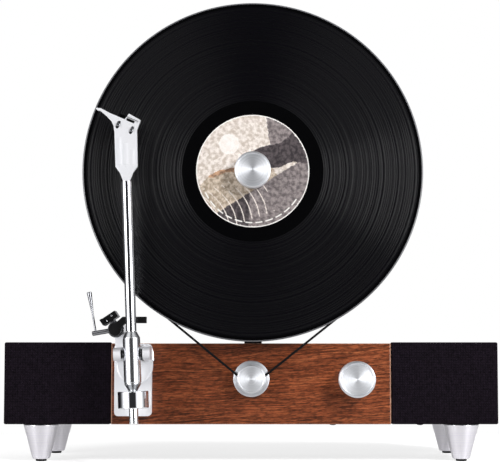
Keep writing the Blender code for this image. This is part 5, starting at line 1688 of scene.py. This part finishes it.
@dataclass
class RecordStack:
    """What turns on the spindle: platter, mat, record, label and clamp, and the bearing that carries them.

    Heights are counted out of the cabinet's face.
    """

    axis: Axis = Axis(at(*SPINDLE, 0.0))

    # The platter: bore, hub, recessed back, and a groove in its rim for the belt
    platter_bore: float = 4.0
    platter_heights: Span = (1.5, 11.5)
    platter_radius: float = 149.0
    hub_radius: float = 22.0
    recess_radius: float = 137.0
    recess_height: float = 5.5
    groove_radius: float = 146.7
    groove_mouth: Span = (4.3, 8.3)
    groove_floor: Span = (5.2, 7.4)
    platter_rounding: float = 0.4
    mat_radius: float = 147.0
    mat_heights: Span = (11.8, 12.8)

    # The record: a rim bead on either side of a face that lies lower, and gaps between its tracks
    record_radius: float = 150.75
    record_heights: Span = (13.1, 14.6)
    record_hole: float = 3.8
    bead_width: float = 1.2
    bead_slope: Span = (146.9, 148.0)
    face_sunk: float = 0.1
    grooves_sunk: float = 0.06
    land_edge: Span = (60.5, 62.0)
    track_gaps: tuple[float, ...] = (79.5, 95.0, 113.5, 131.0)
    gap_sunk: float = 0.09
    gap_halves: Span = (0.3, 0.5)
    edge_points: Profile = ((0.1, 0.95), (0.0, 0.7), (0.12, 0.4), (0.6, 0.0))
    label_heights: Span = (14.7, 15.0)

    # The clamp: a bore for the spindle's end, a rounded foot, a bright lip and a faintly crowned face
    clamp_radius: float = 15.85
    clamp_bore: float = 3.8
    bore_end: float = 22.5
    clamp_heights: Span = (15.3, 27.3)
    clamp_foot: float = 0.6
    clamp_chamfer: float = 1.0
    lip_points: Profile = ((1.7, 27.3), (2.1, 26.75), (3.2, 26.6))
    crown: Profile = ((8.0, 26.92), (3.0, 27.1), (0.0, 27.15))

    bearing_edge: float = 0.3

    def build(self) -> None:
        """Builds the stack from the platter to the clamp, and the bearing behind it."""
        self.build_platter()
        self.build_record()
        self.build_clamp()
        softened("bearing_housing", FINISHES.anodised, Body.CABINET, self.bearing_edge)
        dress("spindle", FINISHES.steel)

    def build_platter(self) -> None:
        """Turns the platter with its belt groove and recessed back, and cuts the felt mat."""
        bore, radius, recess = self.platter_bore, self.platter_radius, self.recess_height
        back, face = self.platter_heights
        section = [(bore, back), (self.hub_radius, back), (self.hub_radius, recess),
                   (self.recess_radius, recess), (self.recess_radius, back), (radius, back),
                   (radius, self.groove_mouth[0]), (self.groove_radius, self.groove_floor[0]),
                   (self.groove_radius, self.groove_floor[1]), (radius, self.groove_mouth[1]),
                   (radius, face), (bore, face)]
        section = eased(section + [section[0]], self.platter_rounding)[:-1]

        # Turned aluminium, anodised black: dark rings with a soft glint on the rim
        finish = Spun("black_anodised_platter", Slot.BLACK_METAL, self.axis, colour="#242426",
                      shadow_colour="#19191b", ring_spacing=1.6)
        add_piece("platter_piece", lathe("platter", section, self.axis, 192, ring=True), finish,
                  Body.PLATTER, ["platter"])
        low, high = self.mat_heights
        mat = [(bore, low), (self.mat_radius, low), (self.mat_radius, high), (bore, high)]
        add_piece("slip_mat_piece", lathe("slip_mat", mat, self.axis, 160, ring=True), FINISHES.felt,
                  Body.PLATTER, ["slip_mat"])

    def build_record(self) -> None:
        """Presses the record, with a bead at its rim and gaps between its tracks, and prints its label."""
        rim, hole = self.record_radius, self.record_hole
        rear, front = self.record_heights
        surface = front - self.face_sunk
        cut, gap_floor = surface - self.grooves_sunk, surface - self.gap_sunk
        near, far = self.gap_halves
        face = [(hole, surface), (self.land_edge[0], surface), (self.land_edge[1], cut)]
        for gap in self.track_gaps:
            face += [(gap - far, cut), (gap - near, gap_floor), (gap + near, gap_floor), (gap + far, cut)]
        face += [(self.bead_slope[0], cut), (self.bead_slope[1], front), (rim - self.bead_width, front)]
        face += [(rim - inset, rear + rise) for inset, rise in self.edge_points]
        face.append((hole, rear))
        finish = Vinyl("pressed_black_vinyl", Slot.VINYL, self.axis)
        record = add_piece("record_piece", lathe("record", face, self.axis, 256, ring=True), finish,
                           Body.PLATTER, ["record"])
        # The bead and edge take the grey rim finish, a painted highlight round the record's rounded rim
        record.data.materials.append(FINISHES.rim.material())
        centre = self.axis.origin
        for part in record.data.polygons:
            reach = math.hypot(part.center.x - centre.x, part.center.z - centre.z) / MM
            part.material_index = int(reach > rim - self.bead_width)
        add_piece("record_label_piece", LabelPrint().mesh(SPINDLE, *self.label_heights),
                  Printed("printed_label_paper", Slot.PAPER), Body.PLATTER, ["record_label"])

    def build_clamp(self) -> None:
        """Turns the record clamp: a short cylinder with a bright rim and a faintly crowned face."""
        r, bore = self.clamp_radius, self.clamp_bore
        foot, top = self.clamp_heights
        profile = [(0.0, self.bore_end), (bore, self.bore_end), (bore, foot), (r - self.clamp_foot, foot),
                   (r, foot + self.clamp_foot), (r, top - self.clamp_chamfer), (r - self.clamp_chamfer, top)]
        profile += [(r - inset, height) for inset, height in self.lip_points] + list(self.crown)
        finish = Spun("turned_clamp_aluminium", Slot.SPUN_ALUMINIUM, self.axis)
        add_piece("record_clamp_piece", lathe("record_clamp", profile, self.axis), finish, Body.CLAMP,
                  ["record_clamp"])


@dataclass
class Drive:
    """The belt drive on the cabinet's face: the pulley, its motor shaft and the round belt."""

    pulley: tuple[float, float] = (0.3, 74.0)

    # The pulley: a bore for the motor shaft, a rear flange, the belt's groove and a front flange
    bore_radius: float = 1.8
    bore_end: float = 10.8
    rear_radius: float = 16.0
    rear_heights: Span = (1.5, 4.5)
    rear_chamfers: Span = (0.5, 0.8)
    groove_radius: float = 4.1
    front_radius: float = 12.5
    front_heights: Span = (8.1, 12.6)
    front_chamfers: Span = (0.5, 0.9)
    lip_points: Profile = ((11.1, 12.6), (10.7, 12.1))
    crown: Profile = ((6.0, 12.35), (0.0, 12.5))

    # The belt: its place out, its own radius, the radii of its centre line, and the chords of its two arcs
    belt_out: float = 6.3
    belt_radius: float = 1.0
    top_radius: float = 148.0
    low_radius: float = 5.4
    top_chords: int = 180
    low_chords: int = 24

    def build(self) -> None:
        """Builds the pulley and the belt."""
        axis = Axis(at(*self.pulley, 0.0))
        foot, rear_top = self.rear_heights
        low, top = self.front_heights
        foot_cut, rear_cut = self.rear_chamfers
        low_cut, top_cut = self.front_chamfers
        profile = [(0.0, self.bore_end), (self.bore_radius, self.bore_end), (self.bore_radius, foot),
                   (self.rear_radius - foot_cut, foot), (self.rear_radius, foot + foot_cut),
                   (self.rear_radius, rear_top - rear_cut), (self.rear_radius - rear_cut, rear_top),
                   (self.groove_radius, rear_top), (self.groove_radius, low),
                   (self.front_radius - low_cut, low), (self.front_radius, low + low_cut),
                   (self.front_radius, top - top_cut), (self.front_radius - top_cut, top)]
        profile += list(self.lip_points) + list(self.crown)
        finish = Spun("turned_pulley_aluminium", Slot.SPUN_ALUMINIUM, axis)
        add_piece("drive_pulley_piece", lathe("drive_pulley", profile, axis), finish, Body.PULLEY,
                  ["drive_pulley"])
        dress("motor_shaft", FINISHES.steel)
        belt = along_path("drive_belt", self.belt_path(), self.belt_radius, FINISHES.rubber)
        add_piece("drive_belt_piece", belt, FINISHES.rubber, Body.CABINET, ["drive_belt"])

    def belt_path(self) -> list[Vector]:
        """Finds the belt's centre line: a long arc on the platter, a short one on the pulley, two straights.

        Returns:
            The closed path's points, in metres.
        """
        (x1, z1), (x2, z2) = SPINDLE, self.pulley
        apart = math.hypot(x2 - x1, z2 - z1)
        down = math.atan2(z2 - z1, x2 - x1)
        spread = math.acos((self.top_radius - self.low_radius) / apart)
        arcs = ((SPINDLE, self.top_radius, down + spread, math.tau - 2 * spread, self.top_chords),
                (self.pulley, self.low_radius, down - spread, 2 * spread, self.low_chords))
        points = []
        for (x, z), radius, start, sweep, chords in arcs:
            for i in range(chords + 1):
                a = start + sweep * i / chords
                points.append(at(x + radius * math.cos(a), z + radius * math.sin(a), self.belt_out))
        return points


@dataclass
class VolumeKnob:
    """The turned volume knob on the walnut panel, with its shaft through the panel."""

    place: tuple[float, float] = (93.3, 73.7)
    radius: float = 16.0
    shaft_radius: float = 2.0
    shaft_end: float = -22.0
    heights: Span = (1.0, 17.0)
    foot_chamfer: float = 0.5
    chamfer: float = 1.3
    lip_points: Profile = ((1.9, 17.0), (2.4, 16.35), (3.4, 16.2))
    crown: Profile = ((8.0, 16.5), (3.0, 16.7), (0.0, 16.75))

    def build(self) -> None:
        """Turns the knob with its shaft, chamfered rim and faintly crowned face."""
        axis = Axis(at(*self.place, 0.0))
        r, shaft = self.radius, self.shaft_radius
        foot, top = self.heights
        profile = [(0.0, self.shaft_end), (shaft, self.shaft_end), (shaft, foot),
                   (r - self.foot_chamfer, foot), (r, foot + self.foot_chamfer), (r, top - self.chamfer),
                   (r - self.chamfer, top)]
        profile += [(r - inset, height) for inset, height in self.lip_points] + list(self.crown)
        finish = Spun("turned_knob_aluminium", Slot.SPUN_ALUMINIUM, axis)
        add_piece("volume_knob_piece", lathe("volume_knob", profile, axis), finish, Body.VOLUME,
                  ["volume_knob"])


@dataclass
class Tonearm:
    """The arm on the cabinet's face: base plate, yoke, pivot block, chrome tube and counterweight.

    Heights of its turned parts are counted up the arm from its pivot.
    """

    axis: Axis = Axis(at(*ARM_PIVOT, 32.0), ARM_UP)
    base_edge: float = 0.7
    yoke_edge: float = 0.4
    yoke_recess: Recess = Recess(out=11.0, border=1.2, depth=0.8)

    # A lock nut: its bore, its radius with a chamfer, and how far from the arm's axis it lies
    nut_bore: float = 1.9
    nut_radius: float = 3.6
    nut_face_radius: float = 3.1
    nut_chamfer: float = 0.4
    nut_reach: Span = (7.75, 9.3)

    # The pivot block: stub, lower cone, a ring groove, the body, an upper cone, and a bore for the tube
    block_radius: float = 7.5
    block_heights: Span = (-25.8, 13.9)
    block_groove: tuple[float, ...] = (-25.6, -24.6, -24.4)
    block_groove_depth: float = 0.4
    upper_cone: Span = (4.7, 19.2)
    block_bore: Span = (3.8, 12.2)
    stub_radius: float = 3.95
    stub_end: float = -60.2
    stub_top: float = -31.7
    stub_chamfer: float = 0.5
    block_rounding: float = 0.4

    # The tube: a spigot in the block, the tube itself, and a socket at its end for the headshell
    spigot: Span = (3.5, 12.5)
    tube_radius: float = 4.6
    tube_heights: Span = (19.5, 150.0)
    tube_chamfer: float = 0.4
    socket_radius: float = 1.7
    socket_depth: float = 6.3

    # The counterweight, with its play on the stub
    weight_radius: float = 13.2
    weight_start: float = 32.0
    weight_length: float = 14.7
    weight_play: float = 0.3
    weight_rounding: float = 0.9

    def build(self) -> None:
        """Builds the arm from its base plate to the tube's upper end."""
        softened("tonearm_base", FINISHES.cast, Body.CABINET, self.base_edge, 3, FINISHES.bright)
        softened("swing_yoke", FINISHES.cast, Body.YOKE, self.yoke_edge, 3, FINISHES.bright, self.yoke_recess)
        for node in ("left_tilt_bearing", "right_tilt_bearing", "tilt_axle", "tonearm_base_screw"):
            dress(node, FINISHES.steel)
        self.build_lock_nuts()
        self.build_block()
        self.build_tube()
        self.build_counterweight()

    def build_lock_nuts(self) -> None:
        """Turns the black lock nuts between the yoke's posts and the block."""
        pivot, sideways = self.axis.origin, Vector((ARM_UP.z, 0.0, -ARM_UP.x))
        bore, radius = self.nut_bore, self.nut_radius
        inner, outer = self.nut_reach
        ring = [(bore, inner), (self.nut_face_radius, inner), (radius, inner + self.nut_chamfer),
                (radius, outer), (bore, outer)]
        meshes = [lathe("nut", ring, Axis(pivot, sideways * side), 12, ring=True) for side in (-1, 1)]
        add_piece("tilt_lock_nuts", joined("tilt_lock_nuts", meshes), FINISHES.anodised, Body.YOKE)

    def build_block(self) -> None:
        """Turns the chrome pivot block with its cones, ring groove and rear stub."""
        r, stub = self.block_radius, self.stub_radius
        waist = r - self.block_groove_depth
        low, high = self.block_heights
        start, end, body = self.block_groove
        profile = [(0.0, self.stub_end), (stub - self.stub_chamfer, self.stub_end),
                   (stub, self.stub_end + self.stub_chamfer), (stub, self.stub_top), (r, low),
                   (waist, start), (waist, end), (r, body), (r, high), self.upper_cone,
                   (self.block_bore[0], self.upper_cone[1]), self.block_bore, (0.0, self.block_bore[1])]
        block = lathe("pivot_block", eased(profile, self.block_rounding), self.axis, 64)
        add_piece("pivot_block_piece", block, FINISHES.satin, Body.ARM, ["pivot_block"])

    def build_tube(self) -> None:
        """Draws the chrome arm tube with its spigot."""
        r, socket = self.tube_radius, self.socket_radius
        low, high = self.tube_heights
        profile = [(0.0, self.spigot[1]), self.spigot, (self.spigot[0], low), (r, low),
                   (r, high - self.tube_chamfer), (r - self.tube_chamfer, high), (socket, high),
                   (socket, high - self.socket_depth), (0.0, high - self.socket_depth)]
        add_piece("arm_tube_piece", lathe("arm_tube", profile, self.axis, 48), FINISHES.chrome, Body.ARM,
                  ["arm_tube"])

    def build_counterweight(self) -> None:
        """Turns the counterweight as a ring that slides on the stub."""
        r, low = self.weight_radius, -self.weight_start - self.weight_length
        high, bore = -self.weight_start, self.stub_radius + self.weight_play
        section = [(bore, low), (r, low), (r, high), (bore, high), (bore, low)]
        ring = eased(section, self.weight_rounding, 4)[:-1]
        add_piece("counterweight_piece", lathe("counterweight", ring, self.axis, ring=True),
                  FINISHES.chrome, Body.COUNTERWEIGHT, ["counterweight"])


@dataclass
class Headshell:
    """The flat headshell at the arm's end, with three flutes, and the cartridge and stylus behind it."""

    front: float = 33.5
    edge: float = 0.3
    cartridge_edge: float = 0.5
    stylus_edge: float = 0.2

    # The flutes: places across the arm, lower and upper ends along it, the tool's radius and its run-out
    flute_centres: tuple[float, ...] = (-5.6, 0.0, 5.6)
    flute_foot: float = 164.5
    flute_tops: tuple[float, ...] = (188.5, 183.0, 178.0)
    flute_radius: float = 20.0
    flute_depth: float = 0.13
    tool_step: float = 0.8
    tool_lengths: Span = (0.6, 1.2)

    # A dimple below each flute
    dimple_radius: float = 0.45
    dimple_below: float = 1.6
    dimple_depth: float = 0.6
    dimple_tool: float = 2.0

    # A cap screw: its shank, its head and the socket in it
    shank_radius: float = 1.1
    screw_radius: float = 1.6
    head_height: float = 1.4
    head_chamfers: Span = (0.4, 0.1)
    socket_radii: Span = (0.85, 0.75)
    socket_depth: float = 0.9

    def place(self, across: float, along: float, out: float) -> Vector:
        """Gives a point on the parked arm.

        Args:
            across: how far right of the arm's axis, in millimetres.
            along: how far from the pivot.
            out: how far out of the cabinet's face.

        Returns:
            The point, in metres.
        """
        a = math.radians(ARM_LEAN)
        return at(ARM_PIVOT[0] - along * math.sin(a) + across * math.cos(a),
                  ARM_PIVOT[1] + along * math.cos(a) + across * math.sin(a), out)

    def build(self) -> None:
        """Builds the headshell, its two screws, the cartridge and the stylus."""
        cutters = []
        for centre, top in zip(self.flute_centres, self.flute_tops):
            cutters += self.flute_tools(centre, top)
        softened("headshell", FINISHES.cast, Body.ARM, self.edge, edge_finish=FINISHES.bright,
                 cutters=cutters)
        for node in ("left_cartridge_screw", "right_cartridge_screw"):
            self.build_screw(node)
        softened("cartridge", FINISHES.moulded, Body.ARM, self.cartridge_edge)
        softened("stylus", FINISHES.moulded, Body.ARM, self.stylus_edge)

    def flute_tools(self, centre: float, top: float) -> list[Mesh]:
        """Makes the two shapes that cut one flute and the dimple below it.

        Args:
            centre: the flute's place across the arm.
            top: its upper end along the arm.

        Returns:
            The closed meshes.
        """
        out = self.front + self.flute_radius - self.flute_depth
        start, end = self.place(centre, self.flute_foot, out), self.place(centre, top, out)
        r, length = self.flute_radius, (end - start).length / MM
        short, full = self.tool_lengths
        profile = [(0.0, -full), (r - self.tool_step, -short), (r, 0.0), (r, length),
                   (r - self.tool_step, length + short), (0.0, length + full)]
        flute = lathe("flute", profile, Axis(start, (end - start).normalized()), 192)
        dimple = self.place(centre, self.flute_foot - self.dimple_below, self.front - self.dimple_depth)
        hole = [(0.0, 0.0), (self.dimple_radius, 0.0), (self.dimple_radius, self.dimple_tool),
                (0.0, self.dimple_tool)]
        return [flute, lathe("dimple", hole, Axis(dimple), 12)]

    def build_screw(self, node: str) -> None:
        """Turns one cap screw with a socket in its head.

        Args:
            node: the screw's node.
        """
        low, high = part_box(node)
        axis = Axis(Vector(((low.x + high.x) / 2, high.y, (low.z + high.z) / 2)))
        r, shank, length = self.screw_radius, self.shank_radius, (high.y - low.y) / MM
        side, top = self.head_chamfers
        mouth, floor = self.socket_radii
        seat, bottom = length - self.head_height, length - self.socket_depth
        profile = [(0.0, 0.0), (shank, 0.0), (shank, seat), (r, seat), (r, length - side),
                   (r - side, length - top), (mouth, length - top), (floor, bottom), (0.0, bottom)]
        add_piece(f"{node}_piece", lathe(node, profile, axis, 24), FINISHES.steel, Body.ARM, [node])


@dataclass
class CueDevice:
    """The lift beside the pivot: its housing, bar and lever, and the clip that holds the parked arm."""

    edge: float = 0.3

    # The lever: the boss that it turns in, its shaft and its handle with a wider grip
    boss: tuple[float, float] = (-118.0, 117.5)
    shaft_out: float = 11.0
    shaft_angle: float = 9.7
    shaft_radii: tuple[float, ...] = (1.7, 2.1, 1.6)
    shaft_heights: Span = (3.6, 22.0)
    shaft_chamfers: Span = (0.4, 0.5)
    handle_reach: float = 18.8
    handle_length: float = 36.6
    handle_radius: float = 0.9
    handle_end: float = 0.52
    grip_start: float = 0.6
    grip_radii: Span = (1.25, 2.2)
    grip_chamfers: Span = (0.4, 0.5)

    # The clip's pins: places from its middle, along and across it, and the profile of one
    clip_middle: tuple[float, float] = (-123.13, 127.1)
    clip_angle: float = 33.6
    clip_front: float = 27.1
    pin_places: Profile = ((2.9, 0.6), (-3.0, -0.9))
    pin_sunk: float = 1.0
    pin_profile: Profile = ((0.0, 0.0), (0.75, 0.0), (0.75, 1.2), (0.45, 1.45), (0.0, 1.5))

    def build(self) -> None:
        """Builds the housing, the bar, the lever and the clip."""
        softened("cue_housing", FINISHES.bright, Body.CABINET, self.edge)
        softened("cue_lift", FINISHES.black_metal, Body.CUE_LIFT, self.edge)
        self.build_lever()
        softened("arm_rest_clip", FINISHES.moulded, Body.CABINET, self.edge)
        self.build_pins()

    def build_lever(self) -> None:
        """Turns the lever's short shaft and its long handle with a wider grip."""
        a = math.radians(self.shaft_angle)
        away = Vector((-math.cos(a), 0.0, -math.sin(a)))
        up = Vector((-math.sin(a), 0.0, math.cos(a)))
        centre = at(*self.boss, self.shaft_out)
        foot, middle, tip = self.shaft_radii
        start, end = self.shaft_heights
        first, last = self.shaft_chamfers
        shaft = [(0.0, start), (foot, start), (middle, start + first), (middle, end - last), (tip, end),
                 (0.0, end)]
        h, thin = self.handle_length, self.handle_radius
        neck, grip = self.grip_radii
        inset, drop = self.grip_chamfers
        handle = [(0.0, 0.0), (thin, 0.0), (thin, self.handle_end * h), (neck, self.grip_start * h),
                  (grip, h - drop), (grip - inset, h), (0.0, h)]
        mesh = joined("cue_lever", [
            lathe("shaft", shaft, Axis(centre, away), 32),
            lathe("handle", handle, Axis(centre + away * (self.handle_reach * MM), up), 24)])
        add_piece("cue_lever_piece", mesh, FINISHES.dark_steel, Body.CUE_LEVER, ["cue_lever"])

    def build_pins(self) -> None:
        """Sets two small bright pins in the clip's front."""
        a = math.radians(self.clip_angle)
        meshes = []
        for x, y in self.pin_places:
            across = self.clip_middle[0] + x * math.cos(a) - y * math.sin(a)
            height = self.clip_middle[1] + x * math.sin(a) + y * math.cos(a)
            place = at(across, height, self.clip_front - self.pin_sunk)
            meshes.append(lathe("pin", self.pin_profile, Axis(place), 16))
        add_piece("arm_rest_pins", joined("arm_rest_pins", meshes), FINISHES.bright, Body.CABINET)


def main() -> None:
    """Builds the studio and every sub-assembly in order."""
    logging.basicConfig(level=logging.INFO, format="%(name)s: %(message)s")
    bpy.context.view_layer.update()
    for part in (Studio(), Cabinet(), Grilles(), Feet(), RecordStack(), Drive(), VolumeKnob(), Tonearm(),
                 Headshell(), CueDevice()):
        part.build()


if __name__ == "__main__":
    main()
